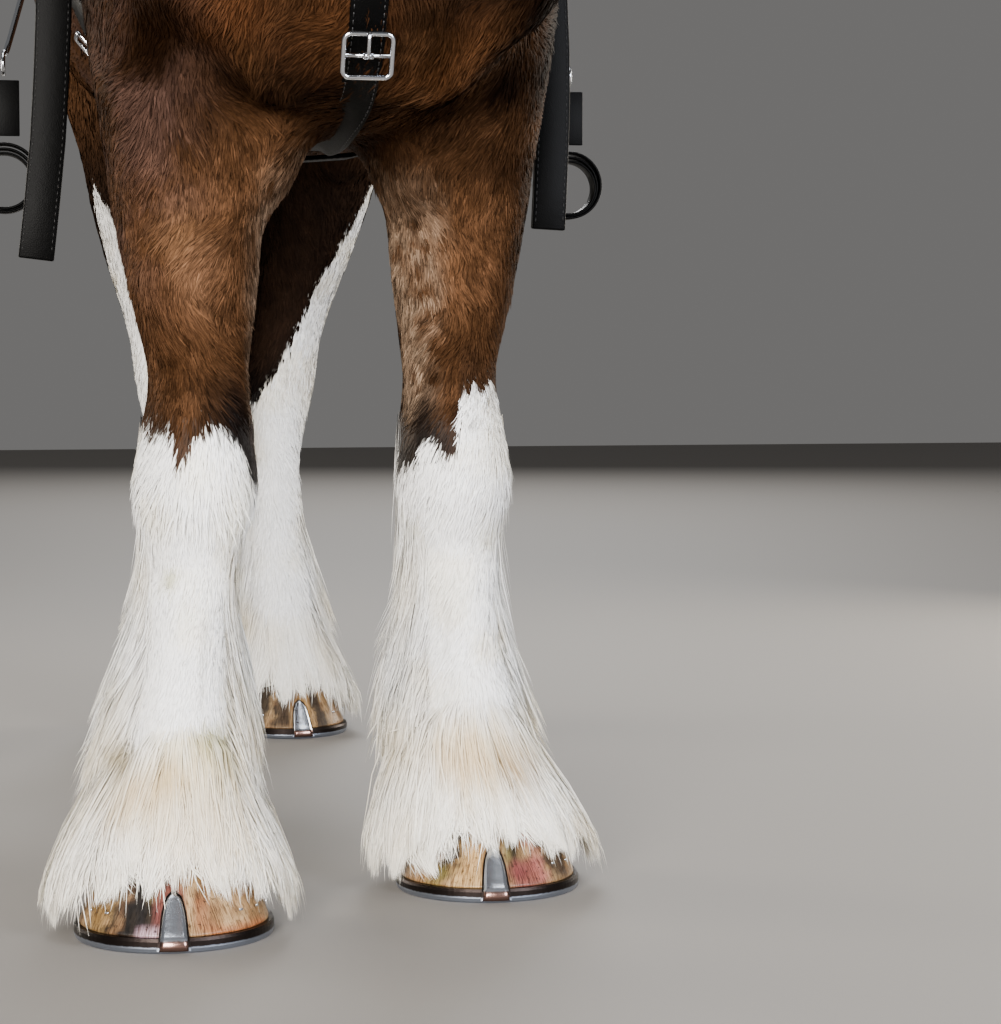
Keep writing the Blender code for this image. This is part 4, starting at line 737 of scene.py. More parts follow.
def coatColour(points):  # linear colours for rows of places
    colours = {name: linear(code) for name, code in coatColours.items()}
    noises = [softNoise(points, size, seed) for size, seed in ((0.17, 1), (0.05, 2), (0.012, 3))]
    middle = noises[1]
    limb = legOf(points)
    fore, _, across, _ = limb
    rows = bayColour(points, colours, noises, limb)
    z = points[:, 2]
    rise = z - whiteHeight(points)
    inner = smoothstep(0.1, -0.45, across)
    # Black above the white
    band = 1 - smoothstep(0.02 * inner, 0.060 + 0.035 * inner, rise + 0.03 * (middle - 0.5))
    rows = blend(rows, colours["black"], (z < 0.93) * band * (0.45 + 0.5 * inner))
    rows = blend(rows, colours["black"] * 1.5, (~fore) * (1 - smoothstep(0.95, 1.15, z)) * 0.8)
    ragged = 0.020 * (softNoise(points, 0.014, 4) - 0.5) + 0.016 * (middle - 0.5)
    white = (z < 1.0) * smoothstep(-0.003, 0.003, ragged - rise)
    rows = blend(rows, snowColour(points, colours, noises, limb), white)
    return faceColour(rows, points, colours, middle)


def paint(mesh, colours):  # stores a linear colour for each vertex
    attribute = mesh.color_attributes.new(name="coatColour", type="FLOAT_COLOR", domain="POINT")
    full = np.concatenate([colours, np.ones((len(colours), 1))], axis=1)
    attribute.data.foreach_set("color", full.astype(np.float32).ravel())


# Hair: soft highlights, and a little darker and lighter in fine specks
def furMaterial(name, roughness, gleam, sheen, fine):
    material, tree, shader = newMaterial(name, Roughness=roughness, Sheen_Weight=sheen, Sheen_Roughness=0.4,
                                         Specular_IOR_Level=gleam)
    colour = addNode(tree, "ShaderNodeAttribute", {"attribute_name": "coatColour"})
    place = addNode(tree, "ShaderNodeTexCoord")
    noise = addNode(tree, "ShaderNodeTexNoise", {"Scale": fine, "Detail": 3.0},
                    {"Vector": place.outputs["Object"]})
    shade = addNode(tree, "ShaderNodeMapRange", {"To Min": 0.86, "To Max": 1.12},
                    {"Value": noise.outputs["Fac"]})
    mixed = addNode(tree, "ShaderNodeMix", {"data_type": "RGBA", "blend_type": "MULTIPLY", 0: 1.0})
    tree.links.new(colour.outputs["Color"], mixed.inputs[6])
    tree.links.new(shade.outputs["Result"], mixed.inputs[7])
    tree.links.new(mixed.outputs[2], shader.inputs["Base Color"])
    bump = addNode(tree, "ShaderNodeBump", {"Strength": 0.35, "Distance": 0.0015},
                   {"Height": noise.outputs["Fac"]})
    tree.links.new(bump.outputs["Normal"], shader.inputs["Normal"])
    return material


skinMaterial = furMaterial("short hair on skin", 0.6, 0.0, 0.0, 260.0)
coatMaterial = furMaterial("short bay hair", 0.5, 0.006, 0.0, 220.0)
featherMaterial = furMaterial("long white hair", 0.55, 0.09, 0.1, 160.0)
paint(skin.data, coatColour(coordinates(skin.data)))
print("markings painted")


# Coat: tufts rooted on the skin

def triangleRows(mesh):
    mesh.calc_loop_triangles()
    out = np.empty(len(mesh.loop_triangles) * 3, np.int32)
    mesh.loop_triangles.foreach_get("vertices", out)
    return out.reshape(-1, 3)


def surfaceOf(obj):  # what tufts are rooted on
    places, corners = coordinates(obj.data), triangleRows(obj.data)
    edges = places[corners[:, 1:]] - places[corners[:, :1]]
    areas = np.linalg.norm(np.cross(edges[:, 0], edges[:, 1]), axis=1) / 2
    return {
        "places": places, "normals": vertexNormals(obj.data), "corners": corners,
        "middles": places[corners].mean(axis=1), "areas": areas,
    }


def rootsOn(surface, weights, count):  # evenly spread roots and their normals
    total = np.cumsum(weights * surface["areas"])
    picks = (np.arange(count) + rng.random(count)) / count * total[-1]
    corners = surface["corners"][np.minimum(np.searchsorted(total, picks), len(total) - 1)]
    a, b = rng.random(count), rng.random(count)
    over = a + b > 1
    a[over], b[over] = 1 - a[over], 1 - b[over]
    shares = np.stack([1 - a - b, a, b], axis=1)[..., None]
    return (surface["places"][corners] * shares).sum(1), unit((surface["normals"][corners] * shares).sum(1))


def turned(direction, normal, angle):  # rows turned about their normals
    c, s = np.cos(angle)[:, None], np.sin(angle)[:, None]
    return direction * c + np.cross(normal, direction) * s


def aboveShoulder(points):  # how far they are on the neck's side of the line where it meets the trunk
    return (points[:, 2] - 1.2) * 0.585 - (points[:, 1] + 0.37) * 0.811


def coatLie(points, normals, swirl):  # the way the hair lies
    x, y, z = points.T
    side = np.sign(x)
    fore = y < hindFrom
    trunk = np.tile((0.0, 0.93, -0.37), (len(points), 1))
    chest = np.stack([0.22 * side, 0.12 + 0 * x, -0.97 + 0 * x], axis=1)
    rows = blend(trunk, chest, 1 - smoothstep(-0.22, 0.10, y))
    rows = blend(rows, (0, 0.42, -0.90), smoothstep(0.0, 0.15, aboveShoulder(points) - 0.02))
    rows = blend(rows, (0, 0.45, -0.89), smoothstep(1.15, 1.45, y))  # the rump
    rows = blend(rows, (0, 0.22, -0.97), 1 - smoothstep(0.85, np.where(fore, 1.0, 1.25), z))  # the legs
    face = smoothstep(0.0, 0.08, headPlace(points)[0]) * (y < -0.55)
    rows = blend(rows, np.array(headAxes.col[1]) + (0, 0.1, 0), face)
    angle = swirl * (1.5 * (softNoise(points, 0.16, 6) - 0.5) + 0.9 * (softNoise(points, 0.035, 7) - 0.5))
    rows = unit(rows - normals * (rows * normals).sum(1, keepdims=True))
    return turned(rows, normals, angle + rng.normal(0, 0.12, len(points)))


def joinedTufts(name, places, bends, pattern, starts, colours, unrolled):  # many alike as one mesh
    count, each = places.shape[:2]
    mesh = bpy.data.meshes.new(name)
    mesh.vertices.add(count * each)
    mesh.vertices.foreach_set("co", places.astype(np.float32).ravel())
    base = np.arange(count)[:, None]
    corners = (base * each + np.array(pattern)).ravel().astype(np.int32)
    mesh.loops.add(len(corners))
    mesh.loops.foreach_set("vertex_index", corners)
    mesh.polygons.add(count * len(starts))
    mesh.polygons.foreach_set("loop_start",
                              (base * len(pattern) + np.array(starts)).ravel().astype(np.int32))
    mesh.update(calc_edges=True)
    paint(mesh, colours.reshape(-1, 3))
    layer = mesh.uv_layers.new(name="OFBake")
    layer.data.foreach_set("uv", unrolled.reshape(-1, 2)[corners].astype(np.float32).ravel())
    mesh.shade_smooth()
    mesh.normals_split_custom_set_from_vertices(unit(bends).reshape(-1, 3).astype(np.float32))
    return newObject(name, mesh)


def unwrapPlace(roots, centre, axis):  # a place for each root on the skin unrolled about an axis
    axis = unit(np.array(axis, float))
    away = roots - np.array(centre)
    down = away @ axis
    flat = away - down[:, None] * axis
    first = unit(np.cross(axis, (0, 0.3, 1) if abs(axis[2]) < 0.8 else (0, 1, 0)))
    angle = np.arctan2(flat @ np.cross(axis, first), flat @ first) / math.tau + 0.5
    span = max(np.ptp(down), 1e-6)
    return np.stack([angle, (down - down.min()) / span], axis=1) * 0.99 + 0.004


patchSize = 0.003  # of each tuft on the unrolled skin


def shortTufts(name, surface, weights, s, material, lie=None):  # pointed at both ends
    count = int(s["count"])
    roots, normals = rootsOn(surface, weights, count)
    if lie is None:
        lie = coatLie(roots, normals, s["swirl"])
    else:
        lie = unit(lie - normals * (normals @ lie)[:, None])
    across = np.cross(lie, normals)
    size = rng.uniform(0.6, 1.2, count) * (0.75 + 0.5 * softNoise(roots, 0.05, 8))
    size = size * np.where(rng.random(count) > 0.88, 1.6, 1.0)
    onKnee = s["slot"] == "white_stocking" and s["rise"] < 0.0025  # fluffier on the fore legs' knees
    knee = onKnee * np.exp(-(((roots[:, 2] - 0.525) / 0.060) ** 2))
    rise = (s["rise"] * (1 + 2.6 * knee) * rng.uniform(0.2, 1.3, count))[:, None]
    size = size * (1 + 0.35 * knee)
    length, width = (s["length"] * size)[:, None], (s["width"] * rng.uniform(0.7, 1.3, count))[:, None]
    middle = roots + lie * length * 0.45 + normals * rise * 0.75
    tilt = normals * (rng.normal(0, 0.12, count)[:, None] * width)
    places = np.stack([
        roots - normals * 0.0012,
        middle + across * width / 2 + tilt,
        middle - across * width / 2 - tilt,
        roots + lie * length + normals * rise,
    ], axis=1)
    puff = across * 0.32
    bends = np.stack([normals, normals + puff, normals - puff, normals + lie * 0.15], axis=1)
    patchy = 1 + 2.2 * s["variety"] * (softNoise(roots, 0.013, 12) - 0.5)
    tone = coatColour(roots) * np.clip(rng.normal(patchy, s["variety"], count), 0.35, 1.9)[:, None]
    colours = np.clip(tone[:, None] * np.array((0.80, 1.0, 1.0, 1.10))[None, :, None], 0, 0.92)
    corners = np.array(((0, -0.5), (0.5, 0), (-0.5, 0), (0, 0.5))) * patchSize
    unrolled = unwrapPlace(roots, s["centre"], s["axis"])[:, None] + corners
    finished(joinedTufts(name, places, bends, (0, 1, 3, 2), (0,), colours, unrolled), material, s["slot"])


def inZone(name):  # a weight for each triangle of the skin
    middles = skinSurface["middles"]
    x, y, z = middles.T
    head = (headPlace(middles)[0] > 0.03) & (y < -0.58)
    neck = ~head & (aboveShoulder(middles) > 0)
    foreUpper = (y < 0.36) & (z < 0.905)
    hindUpper = (y > 0.95) & (z < 1.01)
    low = z < 0.62
    trunk = ~(head | neck | foreUpper | hindUpper | low)
    bare = low & (z > 0.10)
    hidden = 1 - 0.7 * (z < 0.20)
    return {
        "head": head,
        "neck": neck,
        "chest": trunk & (y < 0.16),
        "barrel": trunk & (y >= 0.16) & (y < 0.98),
        "quarters": trunk & (y >= 0.98),
        "forearms": foreUpper & (z > 0.6),
        "gaskins": hindUpper & (z > 0.6),
        "stocking_fore_left": bare * hidden * (y < hindFrom) * (x > 0),
        "stocking_fore_right": bare * hidden * (y < hindFrom) * (x < 0),
        "stockings_hind": bare * hidden * (y > hindFrom),
    }[name].astype(float)


spine, upright = (0, 1, -0.05), (0, 0, -1)
# count, length, width and rise in metres, swirl, variety, and the axis it is unrolled about
coatSettings = {
    "head": (34e3, 0.011, 0.0018, 0.0012, 0.5, 0.10, onHead(0.3, -0.08), headAxes.col[1]),
    "neck": (28e3, 0.023, 0.0038, 0.0018, 0.5, 0.12, (0, -0.3, 1.8), (0, 0.5, -0.85)),
    "chest": (80e3, 0.021, 0.0022, 0.0028, 1.7, 0.26, (0, 0, 1.35), (0, 0.3, -1)),
    "barrel": (32e3, 0.028, 0.0045, 0.0018, 0.5, 0.12, (0, 0.5, 1.35), spine),
    "quarters": (32e3, 0.028, 0.0045, 0.0018, 0.7, 0.12, (0, 1.2, 1.4), spine),
    "forearms": (84e3, 0.022, 0.0020, 0.0034, 1.5, 0.30, (0, 0.05, 0.75), upright),
    "gaskins": (22e3, 0.023, 0.0035, 0.0024, 0.6, 0.15, (0, 1.4, 0.8), upright),
    "stocking_fore_left": (40e3, 0.026, 0.0023, 0.0022, 0.6, 0.025, (0.19, 0.15, 0.3), upright),
    "stocking_fore_right": (40e3, 0.026, 0.0023, 0.0022, 0.6, 0.025, (-0.19, -0.03, 0.3), upright),
    "stockings_hind": (30e3, 0.029, 0.0032, 0.0026, 0.6, 0.03, (0, 1.5, 0.3), upright),
}
skinSurface = surfaceOf(skin)
for zone, row in coatSettings.items():
    s = dict(zip(("count", "length", "width", "rise", "swirl", "variety", "centre", "axis"), row))
    white = zone.startswith("stocking")
    s["slot"] = "white_stocking" if white else "bay_coat"
    shortTufts("coat_" + zone, skinSurface, inZone(zone), s, featherMaterial if white else coatMaterial)
skinTree = BVHTree.FromPolygons(skinSurface["places"].tolist(), skinSurface["corners"].tolist())
finished(skin, skinMaterial, "bay_coat", *skinNodes)
print("short coat planted")


# Long hair: flat strands drawn to the tips of shared locks

def strands(name, spines, outs, widths, tones, unrolled, s, material, slot, *nodes):
    count, rows = spines.shape[:2]
    along = np.gradient(spines, axis=1)
    across = unit(np.cross(along, outs))
    outs = np.cross(across, unit(along))
    twist = rng.normal(0, 0.45, count)[:, None, None]
    flat = unit(across + outs * twist)
    taper = np.interp(np.linspace(0, 1, rows), (0, 0.3, 0.7, 1), s["taper"])
    half = (widths[:, None] * taper[None])[..., None] / 2
    each = 2 * rows - 1
    places, bends = np.empty((2, count, each, 3))
    places[:, 0:-1:2] = spines[:, :-1] + flat[:, :-1] * half[:, :-1]
    places[:, 1:-1:2] = spines[:, :-1] - flat[:, :-1] * half[:, :-1]
    places[:, -1] = spines[:, -1]
    bends[:, 0:-1:2] = outs[:, :-1] + across[:, :-1] * 0.55
    bends[:, 1:-1:2] = outs[:, :-1] - across[:, :-1] * 0.55
    bends[:, -1] = outs[:, -1]
    pattern, starts = [], []
    for row in range(rows - 2):
        starts.append(len(pattern))
        pattern += [2 * row + 1, 2 * row, 2 * row + 2, 2 * row + 3]
    starts.append(len(pattern))
    pattern += [each - 2, each - 3, each - 1]
    rowOf = np.append(np.repeat(np.arange(rows - 1), 2), rows - 1)
    level = rowOf / (rows - 1)
    shades = np.interp(level, (0, 1), s["shades"])
    tones = tones[:, None] if tones.ndim == 2 else tones[:, rowOf]
    colours = np.clip(tones * shades[None, :, None], 0, 0.93)
    spread = np.stack([np.where(np.arange(each) % 2, -0.5, 0.5), level - 0.5], axis=1)
    unrolled = unrolled[:, None] + spread[None] * patchSize
    finished(joinedTufts(name, places, bends, pattern, starts, colours, unrolled), material, slot, *nodes)


def gathered(own, ownRoots, guides, guideRoots, pull):  # each strand drawn to its nearest guide's tip
    away = ((ownRoots[:, None] - guideRoots[None]) ** 2).sum(-1)
    near = guides[away.argmin(1)]
    t = np.linspace(0, 1, own.shape[1])[None, :, None] ** 1.4
    return own + (near - own) * t * pull[:, None, None]


featherSettings = {
    "rows": 6,
    "counts": {"fore": {"back": 7400, "skirt": 10500}, "hind": {"back": 3200, "skirt": 5200}},
    "locks": {"back": 70, "skirt": 84},
    "width": (0.0011, 0.0024),
    "taper": (0.7, 1.0, 0.9, 0.5),
    "shades": (0.92, 1.04),
    "root": 0.28,  # of the way from the leg to the tips
    "stray": {"back": 0.14, "skirt": 0.06},  # of all the strands
}


def featherPaths(end, name, kind, count):  # roots as angle and height, and spines
    spread = rng.random(count) * 2 - 1
    if kind == "back":
        angle = math.radians(126) * np.sign(spread) * np.abs(spread) ** 1.35
        ahead = smoothstep(82, 126, np.degrees(np.abs(angle)))  # shorter and closer towards the front
        top = rng.uniform(0.20, 0.49 if end == "fore" else 0.43, count)
        if end == "fore":
            top = np.where(rng.random(count) < 0.12, rng.uniform(0.46, 0.61, count), top)
        low = top - rng.uniform(0.12, 0.26, count) * (1 - 0.5 * ahead)
        # beside the hoof the skirt takes over
        level = 0.05 + 0.11 * smoothstep(25, 80, np.degrees(np.abs(angle)))
        low = np.maximum(low, level + rng.uniform(-0.02, 0.05, count))
        reach = rng.uniform(0.66, 1.08, count) * (1 - 0.45 * ahead)
        outward, fall = 1.25, 1.15
    else:
        angle = math.pi * spread
        front = np.maximum(0, -np.cos(angle)) ** 2
        top = 0.105 + (0.115 + 0.03 * front) * rng.beta(1.5, 1.8, count)
        low = rng.uniform(0.008, 0.050, count) + front * rng.uniform(0.028, 0.080, count)
        low = low + 0.034 * (softNoise(np.stack([angle / 0.16, 0 * angle, 0 * angle], 1), 1.0, 4) - 0.45)
        reach = rng.uniform(0.74, 1.09, count)
        outward, fall = 2.1, 1.45
    t = np.linspace(0, 1, featherSettings["rows"])[None]
    z = top[:, None] + (low - top)[:, None] * t**fall
    root = (featherSettings["root"] * slimness(top, angle))[:, None]
    share = root + (reach[:, None] - root) * (1 - (1 - t) ** outward)
    bend = angle[:, None] + rng.normal(0, 0.10, count)[:, None] * t**1.5
    bend = bend + 0.060 * np.sin(t * 6 + rng.uniform(0, math.tau, count)[:, None]) * t
    share = share + 0.05 * np.sin(t * 7 + rng.uniform(0, math.tau, count)[:, None]) * t * (1 - t)
    spines = featherPlace(end, name, z.ravel(), bend.ravel(), share.ravel()).reshape(count, -1, 3)
    spines[..., 2] = np.maximum(spines[..., 2], 0.004)
    return angle, top, bend, spines


def hangFeather(end, name, kind):
    s = featherSettings
    count = s["counts"][end][kind]
    guideAngle, guideTop, _, guides = featherPaths(end, name, kind, s["locks"][kind])
    angle, top, bend, spines = featherPaths(end, name, kind, count)
    pull = np.where(rng.random(count) < s["stray"][kind], 0.0, rng.uniform(0.5, 0.97, count))
    spines = gathered(spines, np.stack([angle * 0.08, top], 1), guides,
                      np.stack([guideAngle * 0.08, guideTop], 1), pull)
    ahead = np.where(np.cos(bend) < 0, 0.9, 0.3)
    outs = np.stack([np.sin(bend), np.cos(bend) * ahead, 0.5 + 0 * bend], axis=-1)
    varied = np.clip(rng.normal(1, 0.05, count), 0.8, 1.1)[:, None, None]
    tones = coatColour(spines.reshape(-1, 3)).reshape(spines.shape) * varied
    unrolled = np.stack([angle / math.tau % 1, np.clip(top / 0.5, 0, 1)], axis=1) * 0.99 + 0.004
    widths = rng.uniform(*s["width"], count)
    strands(f"feather_{kind}_{end}_{name}", spines, outs, widths, tones, unrolled, s, featherMaterial,
            "white_stocking")


for end, name in limbs:
    for kind in ("back", "skirt"):
        hangFeather(end, name, kind)
print("feather hung")


# Hooves and shoes

hoofSettings = {
    "fore": (0.1125, 0.117, 0.098, 0.089, 0.102, 0.058, 0.80),  # half width, toe, heel, half width on top,
    "hind": (0.095, 0.102, 0.090, 0.076, 0.092, 0.054, 0.66),  # toe height, heel height, lean of the toe
    "around": 72,
    "levels": 30,
    "ridge": 0.00060,  # growth rings
    "ridgeStep": 0.0075,
    "colours": {"cream": "#b99a70", "amber": "#6e4c2a"},
}
# degrees from the toe to the horse's left, half width, lowest and highest share, colour, strength
hoofZones = {
    ("fore", "right"): (
        (-58, 9, 0.0, 1.0, "#7d6236", 0.75), (-46, 4, 0.0, 1.0, "#15100d", 0.85),
        (-38, 6, 0.0, 1.0, "#5d4330", 0.7), (-28, 11, 0.0, 1.0, "#0d0908", 0.98),
        (-17, 5, 0.3, 1.0, "#6f6238", 0.6), (-16, 10, 0.06, 0.34, "#0f0a0a", 0.9),
        (-3, 12, 0.16, 1.0, "#7d4340", 0.8), (-12, 12, -0.1, 0.03, "#c9a7b4", 0.8),
        (22, 8, 0.12, 0.4, "#8a4f30", 0.6), (48, 30, -0.1, 0.0, "#a65c30", 0.7),
    ),
    ("fore", "left"): (
        (-60, 14, 0.0, 1.0, "#a2764d", 0.5), (-39, 10, 0.16, 1.0, "#17110f", 0.95),
        (-46, 9, 0.0, 0.2, "#7d7136", 0.6), (-20, 14, 0.0, 0.8, "#e0b676", 0.5),
        (18, 9, 0.14, 1.0, "#57522a", 0.85), (20, 4, 0.16, 0.9, "#14100d", 0.8),
        (27, 16, 0.0, 0.28, "#7b3c3c", 0.8), (40, 6, 0.1, 1.0, "#a4605a", 0.6),
        (58, 11, 0.10, 1.0, "#2a211b", 0.85),
    ),
    ("hind", "left"): (
        (-60, 16, 0.0, 1.0, "#17120f", 0.9), (-25, 12, 0.1, 1.0, "#2b2119", 0.85),
        (8, 8, 0.0, 1.0, "#b58a4d", 0.7), (28, 9, 0.0, 1.0, "#15110f", 0.85),
        (55, 14, 0.0, 1.0, "#8f6c44", 0.6),
    ),
    ("hind", "right"): (
        (-40, 18, 0.0, 1.0, "#1b1512", 0.85), (5, 9, 0.1, 1.0, "#3a2b20", 0.7),
        (45, 12, 0, 1, "#6f5636", 0.6),
    ),
}
shoeSettings = {
    "thick": 0.0175,
    "rim": 0.005,  # beyond the hoof
    "web": 0.034,
    "heelOpen": 28,  # degrees each way from the back
    "clipHeight": 0.046,
    "clipWidth": 0.034,
    "nails": (44, 60, 76),  # degrees from the toe, on each side
}


def hoofRing(end, share, grow=0.0, count=72):
    half, toe, heel, topHalf, toeHeight, heelHeight, lean = hoofSettings[end]
    base = shoeSettings["thick"] + 0.0004
    ring = []
    for k in range(count):
        angle = math.tau * k / count
        c, s = math.cos(angle), math.sin(angle)
        z = base + (heelHeight + (toeHeight - heelHeight) * (1 - c) / 2 - base) * share
        wide = half + (topHalf - half) * share + grow
        if c < 0:
            x, y = wide * s, (toe - lean * z + grow) * c
        else:
            back = heel + grow + lean * 0.3 * z
            y = back * c**0.6
            x = wide * math.copysign(abs(s) ** 0.6, s) * (1 - 0.2 * (y / back) ** 2)
        ring.append((x, y, z))
    return ring


def atFoot(bm, end, name):  # a shape made about the hoof's middle set where the hoof stands
    x, y, turn = feet[end, name]
    matrix = Matrix.Translation((x, y, 0)) @ Matrix.Rotation(math.radians(turn), 4, "Z")
    bmesh.ops.transform(bm, matrix=matrix, verts=bm.verts)
    return bm


def makeHoof(end, name):
    s = hoofSettings
    rings = []
    for share in np.linspace(0, 1, s["levels"]):
        height = share * s[end][4]
        grow = s["ridge"] * math.sin(height / s["ridgeStep"] * math.tau + 2 * share) - 0.0006
        grow += 0.0016 * smoothstep(0.90, 0.97, share) - 0.0012 * (1 - smoothstep(0.0, 0.05, share))
        rings.append(hoofRing(end, share, float(grow), s["around"]))
    mesh = meshFrom(loft(rings), f"hoof_{end}_{name}")
    places = coordinates(mesh)
    angle = np.degrees(np.arctan2(places[:, 0], -places[:, 1]))
    share = np.clip((places[:, 2] - 0.018) / (s[end][4] - 0.018), 0, 1)
    streak = softNoise(np.stack([angle / 3.2, share * 1.2, 0 * share], 1), 1.0, 5)
    fine = softNoise(np.stack([angle / 1.1, share * 3, 0 * share], 1), 1.0, 9)
    colours = {key: linear(code) for key, code in s["colours"].items()}
    rows = np.tile(colours["cream"], (len(places), 1))
    rows = blend(rows, colours["amber"], 0.8 * smoothstep(0.3, 0.8, streak))
    rows = blend(rows, colours["amber"], 0.5 * smoothstep(0.6, 0.9, fine))
    for degrees, wide, low, high, code, strength in hoofZones[end, name]:
        away = np.abs(angle - degrees + 6 * (streak - 0.5)) / wide
        zone = 1 - smoothstep(0.75, 1.15, away + 0.5 * (fine - 0.5))
        zone = zone * smoothstep(low - 0.08, low + 0.08, share + 0.1 * fine)
        zone = zone * (1 - smoothstep(high, high + 0.15, share))
        rows = blend(rows, linear(code), strength * zone)
    paint(mesh, rows * (0.6 + 0.5 * fine)[:, None])
    wall = np.stack([np.radians(angle) * 0.11, 0 * angle, places[:, 2]], axis=1)  # metres round it and up it
    attribute = mesh.attributes.new("wall", "FLOAT_VECTOR", "POINT")
    attribute.data.foreach_set("vector", wall.astype(np.float32).ravel())
    x, y, turn = feet[end, name]
    mesh.transform(Matrix.Translation((x, y, 0)) @ Matrix.Rotation(math.radians(turn), 4, "Z"))
    finished(newObject(f"horn_{end}_{name}", mesh), hornMaterial, "hoof_horn", f"hoof_{end}_{name}")


def makeShoe(end, name):
    s = shoeSettings
    count = 96
    thick = s["thick"]
    profile = (  # share of the web inward, height
        (0.00, 0.35 * thick), (0.00, 0.80 * thick), (0.04, thick), (0.96, thick), (1.0, 0.85 * thick),
        (1.0, 0.10 * thick), (0.90, 0.0), (0.62, 0.0), (0.56, 0.20 * thick), (0.44, 0.20 * thick),
        (0.38, 0.0), (0.10, 0.0), (0.035, 0.12 * thick),
    )
    outer = [Vector(p) for p in hoofRing(end, 0, s["rim"], count)]
    inner = [Vector(p) for p in hoofRing(end, 0, s["rim"] - s["web"], count)]
    opening = round(count * s["heelOpen"] / 360)
    rings = []
    for k in range(opening, count + 1 - opening):
        line = [outer[k].lerp(inner[k], share) for share, _ in profile]
        rings.append([(p.x, p.y, z) for p, (_, z) in zip(line, profile)])
    shoe = newObject(f"steel_{end}_{name}", meshFrom(atFoot(loft(rings), end, name), "shoe"))
    finished(shoe, shoeMaterial, "shoe_steel", f"shoe_{end}_{name}", smooth=False)


def makeNail(end, degrees, side):  # the clenched end of a nail in the wall
    half, toe, _, _, _, _, lean = hoofSettings[end]
    angle = math.radians(degrees) * side
    z = shoeSettings["thick"] + 0.021 + 0.001 * degrees / 38
    nail = bmesh.new()
    bmesh.ops.create_cube(nail, size=1)
    bmesh.ops.scale(nail, vec=(0.0056, 0.0020, 0.0030), verts=nail.verts)
    bmesh.ops.bevel(nail, geom=nail.edges, offset=0.0007, segments=2, profile=0.5, affect="EDGES",
                    material=-1)
    place = (half * 0.985 * math.sin(angle), -(toe - lean * z) * math.cos(angle), z)
    bmesh.ops.rotate(nail, matrix=Matrix.Rotation(angle, 3, "Z"), verts=nail.verts)
    bmesh.ops.translate(nail, vec=place, verts=nail.verts)
    return nail


def makeClip(end, name):  # the toe clip, wide and thick below and round on top, a dark sheet behind it as its painted shadow, and the nails
    s = shoeSettings
    thick = s["thick"]
    toe, lean = hoofSettings[end][1], hoofSettings[end][6]
    parts = [atFoot(makeNail(end, degrees, side), end, name) for side in (-1, 1) for degrees in s["nails"]]
    rings, shadow = [], []
    for share in np.linspace(0, 1, 12):
        z = 0.004 + (thick + s["clipHeight"] - 0.004) * share
        wide = s["clipWidth"] / 2 * (1 - 0.40 * share) * math.sqrt(max(0.02, 1 - share**6))
        deep = 0.0046 - 0.0018 * share
        front = -(toe - lean * max(z, thick) + 0.0008 + 0.004 * (z < thick))
        edge = np.linspace(-1, 1, 7)
        face = [(wide * e, front - deep * (1 - 0.35 * e * e), z) for e in edge]
        rear = [(wide * e, front + 0.0012, z) for e in edge[::-1]]
        rings.append(face + rear)
        shadow.append([(x * 1.14, y + 0.0016, z + 0.0016 * share) for x, y, z in rings[-1]])
    parts.append(atFoot(loft(rings), end, name))
    # Its painted shadow: a dark sheet a little wider than the clip, set just behind it
    outline = newObject(f"clip_painted_shadow_{end}_{name}", meshFrom(atFoot(loft(shadow), end, name), "seat"))
    finished(outline, shoeMaterial, "shoe_steel", f"shoe_{end}_{name}", smooth=False)
    clip = newObject(f"clip_{end}_{name}", joined(parts, "clip"))
    finished(clip, clipMaterial, "shoe_steel", f"shoe_{end}_{name}")


# Oiled horn: hard and glossy, with fine streaks down the wall, dark pores and a broken wet gleam
hornMaterial, tree, shader = newMaterial("oiled hoof horn", Coat_Weight=0.12, Coat_Roughness=0.12,
                                         Specular_IOR_Level=0.3)
colour = addNode(tree, "ShaderNodeAttribute", {"attribute_name": "coatColour"})
wall = addNode(tree, "ShaderNodeAttribute", {"attribute_name": "wall"})
drawn = addNode(tree, "ShaderNodeVectorMath", {"operation": "MULTIPLY", 1: (1.0, 1.0, 0.10)},
                {0: wall.outputs["Vector"]})
streak = addNode(tree, "ShaderNodeTexNoise", {"Scale": 620.0, "Detail": 5.0, "Roughness": 0.65},
                 {"Vector": drawn.outputs[0]})
stops = ((0.30, "#3d3029"), (0.44, "#b0a498"), (0.55, "#ffffff"), (0.75, "#ffffff"))
tint = addNode(tree, "ShaderNodeValToRGB", {"stops": stops}, {0: streak.outputs["Fac"]})
place = addNode(tree, "ShaderNodeTexCoord")
grit = addNode(tree, "ShaderNodeTexNoise", {"Scale": 190.0, "Detail": 6.0, "Roughness": 0.7},
               {"Vector": place.outputs["Object"]})
stops = ((0.34, "#2a211b"), (0.42, "#ffffff"), (1.0, "#ffffff"))
pores = addNode(tree, "ShaderNodeValToRGB", {"stops": stops}, {0: grit.outputs["Fac"]})
first = addNode(tree, "ShaderNodeMix", {"data_type": "RGBA", "blend_type": "MULTIPLY", 0: 0.9},
                {6: tint.outputs["Color"], 7: pores.outputs["Color"]})
mixed = addNode(tree, "ShaderNodeMix", {"data_type": "RGBA", "blend_type": "MULTIPLY", 0: 1.0},
                {6: colour.outputs["Color"], 7: first.outputs[2]})
tree.links.new(mixed.outputs[2], shader.inputs["Base Color"])
gloss = addNode(tree, "ShaderNodeMapRange", {"To Min": 0.22, "To Max": 0.62}, {"Value": grit.outputs["Fac"]})
tree.links.new(gloss.outputs["Result"], shader.inputs["Roughness"])
heights = addNode(tree, "ShaderNodeMath", {"operation": "ADD"},
                  {0: grit.outputs["Fac"], 1: streak.outputs["Fac"]})
bump = addNode(tree, "ShaderNodeBump", {"Strength": 0.45, "Distance": 0.0011},
               {"Height": heights.outputs[0]})
tree.links.new(bump.outputs["Normal"], shader.inputs["Normal"])


